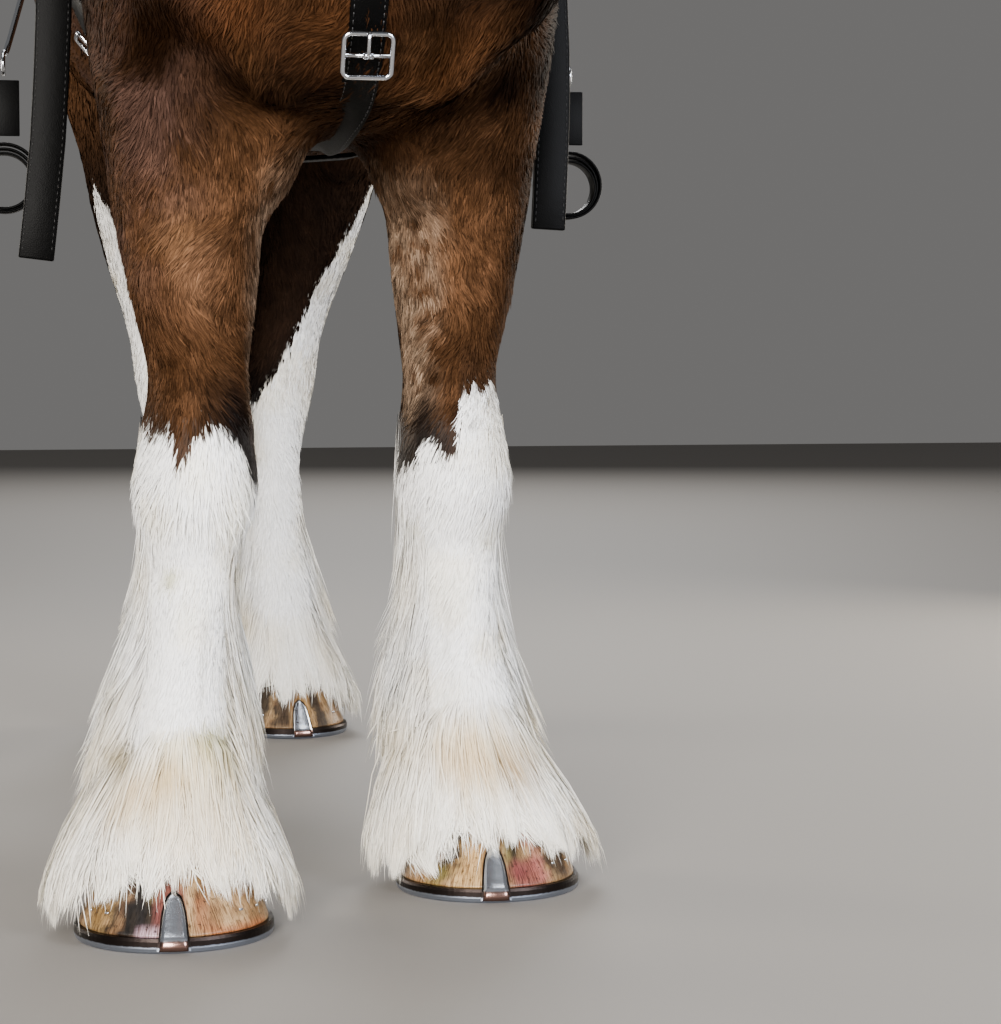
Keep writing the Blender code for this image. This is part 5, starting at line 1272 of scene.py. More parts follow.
def steelMaterial(name, dark, bright, wornBelow, roughness):  # forged steel, worn bright at the ground
    material, tree, shader = newMaterial(name, Metallic=1.0, Roughness=roughness)
    place = addNode(tree, "ShaderNodeTexCoord")
    split = addNode(tree, "ShaderNodeSeparateXYZ", links={0: place.outputs["Object"]})
    noise = addNode(tree, "ShaderNodeTexNoise", {"Scale": 160.0, "Detail": 4.0},
                    {"Vector": place.outputs["Object"]})
    worn = addNode(tree, "ShaderNodeMapRange", {1: wornBelow + 0.003, 2: wornBelow - 0.002},
                   {0: split.outputs["Z"]})
    mixed = addNode(tree, "ShaderNodeMath", {"operation": "MULTIPLY_ADD", 1: 0.5},
                    {0: noise.outputs["Fac"], 2: worn.outputs[0]})
    stops = ((0.2, dark), (0.55, dark), (0.85, bright), (1.0, bright))
    colour = addNode(tree, "ShaderNodeValToRGB", {"stops": stops}, {0: mixed.outputs[0]})
    tree.links.new(colour.outputs["Color"], shader.inputs["Base Color"])
    bump = addNode(tree, "ShaderNodeBump", {"Strength": 0.3, "Distance": 0.0006},
                   {"Height": noise.outputs["Fac"]})
    tree.links.new(bump.outputs["Normal"], shader.inputs["Normal"])
    return material


shoeMaterial = steelMaterial("forged shoe steel", "#2a2422", "#969daa", 0.0070, 0.36)
clipMaterial = steelMaterial("polished clip steel", "#dde3ee", "#8d6f66", 0.0150, 0.22)
for end, name in limbs:
    makeHoof(end, name)
    makeShoe(end, name)
    makeClip(end, name)
print("hooves shod")


# Ears and eyes

earSettings = {
    "root": (0.025, 0.012, 0.056),  # along, forward and sideways of the head's axis
    "lean": (0.26, -0.12, 0.95),
    "face": (0.50, -0.86, 0.0),  # the way its cup opens
    "length": 0.190,
    "sunk": 0.022,
    "half": 0.0405,
    "outline": ((0, 0.62), (0.12, 0.80), (0.32, 1.0), (0.55, 0.90), (0.78, 0.58), (0.93, 0.24), (1.0, 0.10)),
    "thick": 0.0062,
    "tufts": (4200, 0.0085, 0.0016, 0.0008, 0.2, 0.12),
    "fringe": 760,
}


def makeEar(name, side):
    s = earSettings
    up = Vector((s["lean"][0] * side, *s["lean"][1:])).normalized()
    face = Vector((s["face"][0] * side, *s["face"][1:]))
    back = -(face - up * face.dot(up)).normalized()
    across = back.cross(up)
    along, forward, sideways = s["root"]
    root = onHead(along, forward, side * sideways)
    rings = []
    for share, wide in eased(s["outline"], 3):
        half = s["half"] * wide
        thick = s["thick"] * (1 - 0.6 * share)
        centre = root + up * (s["length"] * share - s["sunk"] * (1 - share))
        centre += back * 0.006 * share**3 - across * side * 0.004 * share**3
        turns = np.linspace(-108, 108, 13)
        ring = []
        for wall, degrees in ((half, turns), (half - thick, turns[::-1])):
            for degree in degrees:
                angle = math.radians(degree)
                ring.append(centre + across * wall * math.sin(angle) + back * wall * 0.8 * math.cos(angle))
        rings.append(ring)
    ear = newObject(f"ear_{name}_skin", meshFrom(loft(rings), "ear"))
    paint(ear.data, earColour(coordinates(ear.data), root, up))
    surface = surfaceOf(ear)
    row = dict(zip(("count", "length", "width", "rise", "swirl", "variety"), s["tufts"]))
    row.update(centre=root, axis=up, slot="bay_coat")
    shortTufts(f"coat_ear_{name}", surface, np.ones(len(surface["areas"])), row, coatMaterial, np.array(up))
    finished(ear, skinMaterial, "bay_coat", f"ear_{name}")
    hangFringe(name, root, up, back, across)


def hangFringe(name, root, up, back, across):  # hair along the ear's edges
    s = earSettings
    count = s["fringe"]
    t = np.linspace(0, 1, 5)[None, :, None]
    start = rng.uniform(0.05, 0.62, count)
    edge = np.sign(rng.random(count) - 0.5) * rng.uniform(0.55, 1.0, count)
    angle = np.radians(104) * edge
    half = s["half"] * np.interp(start, *np.array(s["outline"]).T) * 0.86
    upN, backN, acrossN = (np.array(v) for v in (up, back, across))
    base = np.array(root) + upN * (s["length"] * start)[:, None]
    base = base + acrossN * (half * np.sin(angle))[:, None] + backN * (half * 0.8 * np.cos(angle))[:, None]
    heading = upN * 0.72 - backN * 0.30 - acrossN * (0.45 * edge)[:, None]
    length = rng.uniform(0.014, 0.032, count)[:, None, None]
    spines = base[:, None] + heading[:, None] * length * t + upN * length * 0.2 * t**2
    tones = linear("#6a4c34") * rng.uniform(0.4, 1.7, count)[:, None]
    unrolled = np.stack([edge * 0.4 + 0.5, start], axis=1)
    widths = rng.uniform(0.0005, 0.0011, count)
    outs = np.broadcast_to(-backN, spines.shape)
    strands(f"fringe_ear_{name}", spines, outs, widths, tones, unrolled, longHair, coatMaterial, "bay_coat")


def earColour(points, root, up):
    height = (points - np.array(root)) @ np.array(up) / earSettings["length"]
    return blend(coatColour(points), linear("#1c110c"), 0.7 * smoothstep(0.6, 1.0, height))  # dark tips


eyeSettings = {
    "pupil": (0.0078, 0.0044),  # half length and height
    "iris": 0.0188,
    "slit": 20,  # degrees that the opening turns from level
    "open": (0.0085, -0.0095),  # heights of the lids' edges from its middle
    "lid": 0.0026,
    "lashes": 90,
}


def eyeFrame(side):  # outward, along the slit, and across it
    slit = math.radians(eyeSettings["slit"])
    forward = Vector((0, -math.cos(slit), -math.sin(slit)))
    up = Vector((0, -math.sin(slit), math.cos(slit)))
    return Vector((side, 0, 0)), forward, up


def makeEye(name, side):
    s = eyeSettings
    centre, size = nodeBox(f"eye_{name}")
    radius = size.z / 2 * 0.985
    out, forward, up = eyeFrame(side)
    ballMesh = meshFrom(ball(centre, (radius,) * 3, segments=64), "eye")
    away = coordinates(ballMesh) - np.array(centre)
    along, rise, depth = away @ np.array(forward), away @ np.array(up), away @ np.array(out)
    rows = np.tile(linear("#c9b8a6"), (len(away), 1))
    rho = np.hypot(along, rise)
    rows = blend(rows, linear("#1c0f08"), (depth > 0) * (1 - smoothstep(s["iris"], s["iris"] + 0.002, rho)))
    ring = softNoise(away, 0.0022, 3)
    rows = blend(rows, linear("#341b0d"), (depth > 0) * (rho < s["iris"] - 0.002) * (0.25 + 0.6 * ring))
    pupil = np.hypot(along / s["pupil"][0], rise / s["pupil"][1])
    rows = blend(rows, linear("#030303"), (depth > 0) * (1 - smoothstep(0.9, 1.1, pupil)))
    paint(ballMesh, rows)
    finished(newObject(f"eyeball_{name}", ballMesh), eyeMaterial, "eye", f"eye_{name}")
    makeLids(name, centre, radius, out, up)
    hangLashes(name, centre, radius, out, forward, up)


def makeLids(name, centre, radius, out, up):
    s = eyeSettings
    for kind, edge in zip(("upper", "lower"), s["open"]):
        bm = ball(centre, (radius + 0.0008,) * 3, segments=48)
        sign = 1 if edge > 0 else -1
        tilt = (up * sign + out * -0.15).normalized()
        geometry = bm.verts[:] + bm.edges[:] + bm.faces[:]
        bmesh.ops.bisect_plane(bm, geom=geometry, plane_co=centre + up * edge + out * radius * 0.9,
                               plane_no=tilt, clear_inner=True)
        geometry = bm.verts[:] + bm.edges[:] + bm.faces[:]
        bmesh.ops.bisect_plane(bm, geom=geometry, plane_co=centre - out * 0.004, plane_no=out,
                               clear_inner=True)
        lid = newObject(f"lid_{kind}_{name}", meshFrom(bm, "lid"))
        thicken = lid.modifiers.new("thickness", "SOLIDIFY")
        thicken.thickness = s["lid"]
        thicken.offset = 1
        rounding = lid.modifiers.new("rounding", "SUBSURF")
        rounding.levels = rounding.render_levels = 1
        finished(applied(lid), lidMaterial, "bay_coat")


def hangLashes(name, centre, radius, out, forward, up):
    s = eyeSettings
    count = s["lashes"]
    spread = rng.uniform(-0.95, 0.75, count)
    angle = spread * 1.15
    edge = np.array(forward) * (np.sin(angle) * radius * 0.95)[:, None]
    edge = edge + np.array(out) * (np.cos(angle) * radius * 0.92)[:, None]
    base = np.array(centre) + edge + np.array(up) * (s["open"][0] + 0.001)
    heading = unit(edge) * 0.75 + np.array(up) * (0.35 + 0.2 * rng.random(count))[:, None]
    t = np.linspace(0, 1, 5)[None, :, None]
    length = rng.uniform(0.014, 0.024, count)[:, None, None]
    spines = base[:, None] + heading[:, None] * length * t - np.array(up) * (length * 0.45 * (t - t**2))
    strands(f"lashes_{name}", spines, np.broadcast_to(np.array(up), spines.shape), np.full(count, 0.0006),
            np.full((count, 3), 0.01), np.stack([spread * 0.4 + 0.5, 0.5 + 0 * spread], 1), longHair,
            blackMaterial, "black_hair")


longHair = {"taper": (0.8, 1.0, 0.9, 0.5), "shades": (0.7, 1.15)}
# Wet cornea: a mirror-smooth coat over a dark iris
eyeMaterial, tree, shader = newMaterial("wet dark eye", Roughness=0.08, Coat_Weight=1.0, Coat_Roughness=0.01)
colour = addNode(tree, "ShaderNodeAttribute", {"attribute_name": "coatColour"})
tree.links.new(colour.outputs["Color"], shader.inputs["Base Color"])
lidMaterial, tree, shader = newMaterial("black eyelid skin", Base_Color="#15100f", Roughness=0.38)
place = addNode(tree, "ShaderNodeTexCoord")
creases = addNode(tree, "ShaderNodeTexVoronoi", {"Scale": 700.0}, {"Vector": place.outputs["Object"]})
bump = addNode(tree, "ShaderNodeBump", {"Strength": 0.4, "Distance": 0.0005},
               {"Height": creases.outputs["Distance"]})
tree.links.new(bump.outputs["Normal"], shader.inputs["Normal"])
blackMaterial = furMaterial("coarse black hair", 0.34, 0.09, 0.05, 200.0)
for name, side in sides.items():
    makeEar(name, side)
    makeEye(name, side)
print("ears and eyes made")


# Mane, forelock and tail

maneSettings = {
    "from": -0.515,  # y along the crest
    "to": -0.015,
    "long": 0.36,
    "proud": 0.030,  # of the neck
    "side": -1,  # it falls to the horse's right
    "count": 6800,
    "locks": 90,
    "width": (0.0012, 0.0026),
    "taper": (0.8, 1.0, 0.9, 0.5),
    "shades": (0.75, 1.2),
    "tones": ("#0b0807", "#2a1a12"),
}


forelockSettings = {
    **maneSettings,
    "count": 1400,
    "locks": 22,
    "width": (0.0010, 0.0020),
    "end": (0.13, 0.222),  # along the head
    "half": (0.014, 0.036),  # at the root and at the end
    "proud": 0.016,
}


def surfaceGrid(origin, direction):  # how far along the direction the skin lies from rows of origins
    hits = []
    for point in origin.reshape(-1, 3):
        hit = skinTree.ray_cast(Vector(point), Vector(direction))[0]
        hits.append((hit - Vector(point)).length if hit else np.nan)
    hits = np.array(hits)
    hits[np.isnan(hits)] = np.nanmax(hits)
    return hits.reshape(origin.shape[:-1])


def between(grid, u, v):  # bilinear, u and v from 0 to 1 along the grid's rows and columns
    rows, columns = grid.shape
    a, b = np.clip(u, 0, 1) * (rows - 1.001), np.clip(v, 0, 1) * (columns - 1.001)
    i, j = a.astype(int), b.astype(int)
    a, b = a - i, b - j
    low = grid[i, j] * (1 - b) + grid[i, j + 1] * b
    high = grid[i + 1, j] * (1 - b) + grid[i + 1, j + 1] * b
    return low * (1 - a) + high * a


def hangMane():
    s = maneSettings
    ys = np.linspace(s["from"] - 0.06, s["to"] + 0.10, 34)
    crest = 3.0 - surfaceGrid(np.stack([0 * ys, ys, 3.0 + 0 * ys], 1), (0, 0, -1))
    downs = np.linspace(0.006, s["long"] + 0.03, 26)
    origin = np.empty((34, 26, 3))
    origin[..., 0] = s["side"]
    origin[..., 1] = ys[:, None]
    origin[..., 2] = crest[:, None] - downs[None]
    sideGrid = s["side"] * (1.0 - surfaceGrid(origin, (-s["side"], 0, 0)))

    def paths(count):
        root = rng.uniform(s["from"], s["to"], count)
        height = np.interp(root, ys, crest)
        long = np.minimum(height - (1.65 + root + 0.185), 0.20 + 0.9 * (root - s["from"]))
        long = np.clip(long, 0.05, s["long"]) * rng.uniform(0.55, 1.0, count)
        sway = rng.uniform(-0.02, 0.045, count)
        layer = rng.uniform(0.1, 1.0, count)
        t = np.linspace(0, 1, 8)[None]
        wave = 0.006 * np.sin(t * 6 + rng.uniform(0, 6, count)[:, None])
        place = root[:, None] + (sway[:, None] * t**1.5) + wave
        down = 0.004 + (long[:, None]) * np.maximum(0, t - 0.14) / 0.86
        u = (place - ys[0]) / (ys[-1] - ys[0])
        v = (down - downs[0]) / (downs[-1] - downs[0])
        x = between(sideGrid, u, v)
        lift = 0.003 + s["proud"] * layer[:, None] * np.interp(t, (0, 0.2, 0.5, 1), (0.1, 0.75, 0.8, 0.35))
        x = x + s["side"] * lift
        start = rng.uniform(-0.010, 0.014, count)
        x[:, 0] = -s["side"] * start
        z = np.interp(place, ys, crest) - down
        z[:, 0] = height - 0.004
        z[:, 1] = height + 0.006 + 0.016 * layer
        x[:, 1] = s["side"] * rng.uniform(0.006, 0.020, count)
        return root, np.stack([x, place, z], axis=-1)

    guideRoot, guides = paths(s["locks"])
    root, spines = paths(s["count"])
    pull = np.where(rng.random(s["count"]) < 0.05, 0.1, rng.uniform(0.4, 0.9, s["count"]))
    spines = gathered(spines, root[:, None], guides, guideRoot[:, None], pull)
    outs = np.broadcast_to(np.array((s["side"], 0.0, 0.45)), spines.shape)
    share = rng.random(s["count"]) ** 2
    tones = blend(np.tile(linear(s["tones"][0]), (s["count"], 1)), linear(s["tones"][1]), share)
    unrolled = np.stack([(root - s["from"]) / 0.5, rng.random(s["count"])], axis=1) * 0.99
    strands("mane_hair", spines, outs, rng.uniform(*s["width"], s["count"]), tones, unrolled, s,
            blackMaterial, "black_hair", "mane")


def hangForelock():
    s = forelockSettings
    alongs, acrosses = np.linspace(-0.02, 0.26, 16), np.linspace(-0.07, 0.07, 9)
    front = np.array(headAxes.col[2])
    origin = np.empty((16, 9, 3))
    for i, along in enumerate(alongs):
        for j, across in enumerate(acrosses):
            origin[i, j] = np.array(onHead(along, 0, across)) + front * 0.5
    faceGrid = 0.5 - surfaceGrid(origin, Vector(-front))

    def paths(count):
        side = rng.uniform(-1, 1, count)
        end = rng.uniform(*s["end"], count) - 0.03 * np.abs(side)
        t = np.linspace(0, 1, 7)[None]
        along = 0.004 + (end[:, None] - 0.004) * t
        half = s["half"][0] + (s["half"][1] - s["half"][0]) * t
        across = side[:, None] * half + 0.004 * np.sin(t * 5 + side[:, None] * 9)
        u = (along - alongs[0]) / np.ptp(alongs)
        v = (across - acrosses[0]) / np.ptp(acrosses)
        arch = np.sin(np.pi * (0.08 + 0.85 * t))
        lift = between(faceGrid, u, v) + 0.001 + rng.uniform(0.1, 1, count)[:, None] * s["proud"] * arch
        place = np.array(poll) + along[..., None] * np.array(headAxes.col[1]) + lift[..., None] * front
        place[..., 0] += across
        return side, place

    guideRoot, guides = paths(s["locks"])
    root, spines = paths(s["count"])
    spines = gathered(spines, root[:, None], guides, guideRoot[:, None], rng.uniform(0.3, 0.9, s["count"]))
    outs = np.broadcast_to(front, spines.shape)
    tones = linear(s["tones"][0]) * rng.uniform(0.7, 2.6, s["count"])[:, None]
    unrolled = np.stack([root * 0.49 + 0.5, rng.random(s["count"])], axis=1) * 0.99
    strands("forelock_hair", spines, outs, rng.uniform(*s["width"], s["count"]), tones, unrolled, s,
            blackMaterial, "black_hair", "forelock")


tailSettings = {
    "rows": (  # y, z, half width, half depth
        (1.400, 1.610, 0.046, 0.046), (1.500, 1.630, 0.048, 0.046), (1.580, 1.605, 0.052, 0.046),
        (1.632, 1.525, 0.060, 0.048), (1.662, 1.410, 0.070, 0.052), (1.688, 1.260, 0.084, 0.058),
        (1.712, 1.080, 0.094, 0.062), (1.718, 0.890, 0.092, 0.060), (1.718, 0.730, 0.072, 0.048),
        (1.712, 0.600, 0.036, 0.028),
    ),
    "count": 5800,
    "locks": 64,
    "width": (0.0014, 0.0030),
    "taper": (0.8, 1.0, 0.9, 0.5),
    "shades": (0.75, 1.15),
    "tones": ("#0a0706", "#24150e"),
}


def hangTail():
    s = tailSettings
    table = np.array(s["rows"])

    def paths(count):
        angle = rng.uniform(0, math.tau, count)
        start = rng.uniform(0.12, 0.50, count) ** 1.1
        end = rng.uniform(0.72, 1.0, count)
        reach = np.sqrt(rng.uniform(0.12, 0.95, count))
        t = np.linspace(0, 1, 9)[None]
        at = (start[:, None] + (end - start)[:, None] * t) * (len(table) - 1)
        y, z, half, deep = (np.interp(at, range(len(table)), table[:, i]) for i in range(4))
        spread = reach[:, None] * (0.45 + 0.55 * np.minimum(1, t * 3)) * (1 - 0.25 * t**3)
        bend = angle[:, None] + 0.25 * t + 0.10 * np.sin(t * 7 + angle[:, None] * 3)
        place = np.stack([half * spread * np.cos(bend), y + deep * spread * np.sin(bend), z], axis=-1)
        outs = np.stack([np.cos(bend), np.sin(bend), 0.35 + 0 * bend], axis=-1)
        return np.stack([np.cos(angle), np.sin(angle), start * 2], 1), place, outs

    guideRoot, guides, _ = paths(s["locks"])
    root, spines, outs = paths(s["count"])
    pull = np.where(rng.random(s["count"]) < 0.05, 0.1, rng.uniform(0.4, 0.9, s["count"]))
    spines = gathered(spines, root, guides, guideRoot, pull)
    share = rng.random(s["count"]) ** 2
    tones = blend(np.tile(linear(s["tones"][0]), (s["count"], 1)), linear(s["tones"][1]), share)
    unrolled = np.stack([np.arctan2(root[:, 1], root[:, 0]) / math.tau % 1, root[:, 2] / 2], axis=1) * 0.99
    strands("tail_hair", spines, outs, rng.uniform(*s["width"], s["count"]), tones, unrolled, s,
            blackMaterial, "black_hair", "tail")


hangMane()
hangForelock()
hangTail()
print("mane and tail hung")


# Harness

harnessSettings = {
    "breast": {"heart": (0, 0.02, 1.16), "degrees": (4, 78), "belly": (0.06, 0.326), "width": 0.042},
    "barrel": {"middle": (0, 0.370, 1.33), "padDown": 62, "girth": 0.060, "pad": 0.120},
    "trace": {"from": (-0.16, 1.315), "to": (0.47, 1.262), "width": 0.048},
    "hang": {
        "left": ((0.330, 0.310, 1.235), (0.337, 0.310, 1.09), (0.336, 0.308, 0.98), (0.330, 0.305, 0.85)),
        "right": ((0.325, 0.305, 1.232), (0.327, 0.306, 1.12), (0.336, 0.308, 0.96), (0.353, 0.305, 0.805)),
        "width": 0.046,
    },
    "collar": {"middle": (0, -0.125, 1.5225), "up": (0, 0.49, 0.675), "half": 0.050, "welt": 0.0032},
    "stitch": (0.0052, 0.0012, 0.0009),  # length, width and height of a stitch
    "stitchStep": 0.0090,
    "inset": 0.0042,  # of the stitching from a strap's edge
}

# Oiled harness leather: near black, a soft gleam on the grain, and blue-grey on the edges, partly rubbed
# wear and partly a painted highlight
leatherMaterial, tree, shader = newMaterial("oiled harness leather", Roughness=0.45, Specular_IOR_Level=0.05)
place = addNode(tree, "ShaderNodeTexCoord")
worn = addNode(tree, "ShaderNodeAttribute", {"attribute_name": "worn"})
scuff = addNode(tree, "ShaderNodeTexNoise", {"Scale": 38.0, "Detail": 6.0, "Roughness": 0.7},
                {"Vector": place.outputs["Object"]})
# Scuffs and the worn edges lighten towards blue-grey: rubbed wear and a painted edge highlight
wearAndEdgeHighlight = addNode(tree, "ShaderNodeMath", {"operation": "MULTIPLY_ADD", 1: 0.55}, {0: scuff.outputs["Fac"]})
tree.links.new(worn.outputs["Fac"], wearAndEdgeHighlight.inputs[2])
stops = ((0.30, "#020202"), (0.58, "#050506"), (0.85, "#22262d"), (1.0, "#4a515c"))
colour = addNode(tree, "ShaderNodeValToRGB", {"stops": stops}, {0: wearAndEdgeHighlight.outputs[0]})
tree.links.new(colour.outputs["Color"], shader.inputs["Base Color"])
# Its grain is 1.6 mm
grain = addNode(tree, "ShaderNodeTexVoronoi", {"Scale": 620.0}, {"Vector": place.outputs["Object"]})
heights = addNode(tree, "ShaderNodeMath", {"operation": "MULTIPLY_ADD", 1: 0.35},
                  {0: grain.outputs["Distance"], 2: scuff.outputs["Fac"]})
bump = addNode(tree, "ShaderNodeBump", {"Strength": 0.35, "Distance": 0.0012},
               {"Height": heights.outputs[0]})
tree.links.new(bump.outputs["Normal"], shader.inputs["Normal"])

# Chrome plate on forged steel: mirror bright, with fine scratches
chromeMaterial, tree, shader = newMaterial("chrome plate", Metallic=1.0, Base_Color="#cfd3da",
                                           Roughness=0.12)
place = addNode(tree, "ShaderNodeTexCoord")
scratch = addNode(tree, "ShaderNodeTexNoise", {"Scale": 900.0, "Detail": 3.0},
                  {"Vector": place.outputs["Object"]})
bump = addNode(tree, "ShaderNodeBump", {"Strength": 0.12, "Distance": 0.0004},
               {"Height": scratch.outputs["Fac"]})
tree.links.new(bump.outputs["Normal"], shader.inputs["Normal"])

# Waxed linen thread, dark and slightly shiny
threadMaterial, tree, shader = newMaterial("waxed linen thread", Base_Color="#0e0d0d", Roughness=0.55)
place = addNode(tree, "ShaderNodeTexCoord")
twist = addNode(tree, "ShaderNodeTexNoise", {"Scale": 1400.0}, {"Vector": place.outputs["Object"]})
bump = addNode(tree, "ShaderNodeBump", {"Strength": 0.4, "Distance": 0.0003},
               {"Height": twist.outputs["Fac"]})
tree.links.new(bump.outputs["Normal"], shader.inputs["Normal"])


def rounded(node, name, bevel=0.0, levels=0):  # a finer copy of a CAD piece, its edges rounded
    bm = bmesh.new()
    bm.from_mesh(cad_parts[node].data)
    bmesh.ops.translate(bm, vec=-frameShift, verts=bm.verts)
    bmesh.ops.remove_doubles(bm, verts=bm.verts, dist=0.00002)
    bmesh.ops.join_triangles(bm, faces=bm.faces, angle_face_threshold=0.6, angle_shape_threshold=1.2)
    edges = [e for e in bm.edges if len(e.link_faces) == 2 and e.calc_face_angle(0) > math.radians(30)]
    if bevel:
        bmesh.ops.bevel(bm, geom=edges, offset=bevel, segments=2, profile=0.5, affect="EDGES",
                        clamp_overlap=True, material=-1)
    bmesh.ops.recalc_face_normals(bm, faces=bm.faces)
    obj = newObject(name, meshFrom(bm, name))
    if levels:
        rounding = obj.modifiers.new("rounding", "SUBSURF")
        rounding.levels = rounding.render_levels = levels
        applied(obj)
    bm = bmesh.new()
    bm.from_mesh(obj.data)
    # How sharp each edge is, which the leather lights as rubbed wear and a painted edge highlight
    worn = [min(1.0, (vert.calc_shell_factor() - 1) * 2.2) for vert in bm.verts]
    bm.free()
    obj.data.attributes.new("worn", "FLOAT", "POINT").data.foreach_set("value", worn)
    return obj


def treeOf(obj):
    faces = [list(face.vertices) for face in obj.data.polygons]
    return BVHTree.FromPolygons(coordinates(obj.data).tolist(), faces)


def skinPoint(origin, out):  # the skin seen from outside along this direction
    return skinTree.ray_cast(Vector(origin) + Vector(out) * 1.2, -Vector(out))[0]


def stitches(name, target, centres, outs, half):  # rows of stitches near both edges of a strap
    s = harnessSettings
    tree = treeOf(target)
    bm = bmesh.new()
    for side in (-1, 1):
        points, faces = [], []
        for k, (centre, out) in enumerate(zip(centres, outs)):
            ahead = Vector(centres[min(k + 1, len(centres) - 1)]) - Vector(centres[max(k - 1, 0)])
            across = ahead.cross(Vector(out)).normalized()
            start = Vector(centre) + across * side * (half - s["inset"])
            hit, normal, _, _ = tree.ray_cast(start + Vector(out) * 0.06, -Vector(out), 0.12)
            if hit:
                points.append(hit)
                faces.append(normal)
        spans = [(b - a).length for a, b in zip(points, points[1:])]
        along = np.concatenate([[0], np.cumsum(spans)])
        for at in np.arange(s["stitchStep"], along[-1], s["stitchStep"]):
            k = min(int(np.searchsorted(along, at)) - 1, len(points) - 2)
            place = points[k].lerp(points[k + 1], (at - along[k]) / max(1e-6, spans[k]))
            x = (points[k + 1] - points[k]).normalized()
            z = faces[k]
            matrix = Matrix((x, z.cross(x), z)).transposed().to_4x4()
            matrix = Matrix.Translation(place + z * 0.0002) @ matrix @ Matrix.Diagonal((*s["stitch"], 1))
            bmesh.ops.create_cone(bm, segments=6, radius1=0.5, radius2=0.5, depth=1, cap_ends=True,
                                  matrix=matrix @ Matrix.Rotation(math.pi / 2, 4, "Y"))
    finished(newObject(name, meshFrom(bm, name)), threadMaterial, "harness_leather")


def smoothLine(rows, count):
    rows = np.array(rows)
    t = np.linspace(0, len(rows) - 1, count)
    return [Vector([np.interp(k, range(len(rows)), rows[:, i]) for i in range(3)]) for k in t]


def breastLine():
    s = harnessSettings["breast"]
    centres, outs = [], []
    for degrees in np.linspace(*s["degrees"], 40):
        angle = math.radians(degrees)
        outs.append(Vector((0, -math.cos(angle), -math.sin(angle))))
        centres.append(skinPoint(s["heart"], outs[-1]))
    for y in np.linspace(*s["belly"], 24):
        outs.append(Vector((0, 0, -1)))
        centres.append(skinPoint((0, y, 1.1), outs[-1]))
    return centres, outs


def barrelLine(start, end, count):
    centres, outs = [], []
    for angle in np.radians(np.linspace(start, end, count)):
        outs.append(Vector((math.sin(angle), 0, math.cos(angle))))
        centres.append(skinPoint(harnessSettings["barrel"]["middle"], outs[-1]))
    return centres, outs


def tube(path, radius, close=False, around=12):  # a round bar along a path
    rings = []
    for k, point in enumerate(path):
        ahead = path[(k + 1) % len(path)] if close or k + 1 < len(path) else point
        behind = path[k - 1] if close or k else point
        along = (ahead - behind).normalized()
        if not k:
            across = along.orthogonal().normalized()
        across = (across - along * across.dot(along)).normalized()
        other = along.cross(across)
        turns = np.arange(around) * math.tau / around
        rings.append([point + (across * math.cos(a) + other * math.sin(a)) * radius for a in turns])
    return loft(rings, close)


def strap(name, centres, outs, wide, thick, rounds=0, close=False):  # a flat strap lying along a path
    centres, outs = np.array(centres), np.array(outs)
    for _ in range(rounds):
        for rows in (centres, outs):
            rows[1:-1] = 0.5 * rows[1:-1] + 0.25 * (rows[:-2] + rows[2:])
    along = unit(np.gradient(centres, axis=0))
    if close:
        along = unit(np.roll(centres, -1, 0) - np.roll(centres, 1, 0))
    across = unit(np.cross(along, outs))
    outs = np.cross(across, along)
    edge = 0.0014  # how far the corners are cut
    section = []
    for sx, sz in ((1, 1), (-1, 1), (-1, -1), (1, -1)):
        corner = []
        for k, m in ((0, 1), (0.3, 0.3), (1, 0)):
            corner.append((sx * (wide / 2 - edge * k), sz * (thick / 2 - edge * m)))
        section += corner if sx * sz > 0 else corner[::-1]
    rings = [[Vector(c + a * u + o * v) for u, v in section] for c, a, o in zip(centres, across, outs)]
    obj = newObject(name, meshFrom(loft(rings, close), name))
    # Lighter on the cut corners: rubbed wear and a painted edge highlight
    worn = np.tile([0.10 * (0 < k % 3 < 2) for k in range(len(section))], len(rings))
    obj.data.attributes.new("worn", "FLOAT", "POINT").data.foreach_set("value", worn.astype(np.float32))
    return obj


def makeBuckle(node, centre, along, out, wide):  # a rounded frame, a middle bar and a tongue
    along, out = along.normalized(), out.normalized()
    across = along.cross(out)
    tall, bar, corner = 0.050, 0.0030, 0.008  # height, half thickness, and radius of the corners
    path = []
    for quarter, (sx, sy) in enumerate(((1, 1), (-1, 1), (-1, -1), (1, -1))):
        middle = centre + across * sx * (wide / 2 - corner) + along * sy * (tall / 2 - corner)
        for angle in np.radians(np.linspace(90 * quarter, 90 * quarter + 90, 7)):
            path.append(middle + (across * math.cos(angle) + along * math.sin(angle)) * corner)
    parts = [tube(path, bar, True)]
    parts.append(tube([centre - across * wide / 2, centre + across * wide / 2], bar * 0.85))
    prong = [centre + out * 0.0034 - along * 0.002, centre + out * 0.0046 + along * 0.008,
             centre + out * 0.0040 + along * 0.018, centre + out * 0.0034 + along * (tall / 2 + 0.0035)]
    parts.append(tube(prong, bar * 0.78))
    parts.append(tube([centre - across * 0.006, centre + across * 0.006], bar * 1.5, around=14))
    finished(newObject(f"{node}_chrome", joined(parts, node)), *chrome, node)


def hangBreastStrap():
    s = harnessSettings["breast"]
    centres, outs = breastLine()
    # The strap turns on edge between the legs
    twist = [1.5 * smoothstep(18, 34, k) * smoothstep(62, 40, k) for k in range(len(outs))]
    outs = [(out - Vector((turn, 0, 0))).normalized() for out, turn in zip(outs, twist)]
    centres = [centre + out * (0.0055 - 0.0035 * smoothstep(40, 48, k))
               for k, (centre, out) in enumerate(zip(centres, outs))]
    breast = strap("breast_leather", centres, outs, s["width"], 0.0045, 22)
    stitches("breast_stitches", breast, centres, outs, s["width"] / 2)
    finished(breast, *leather, "breast_strap")


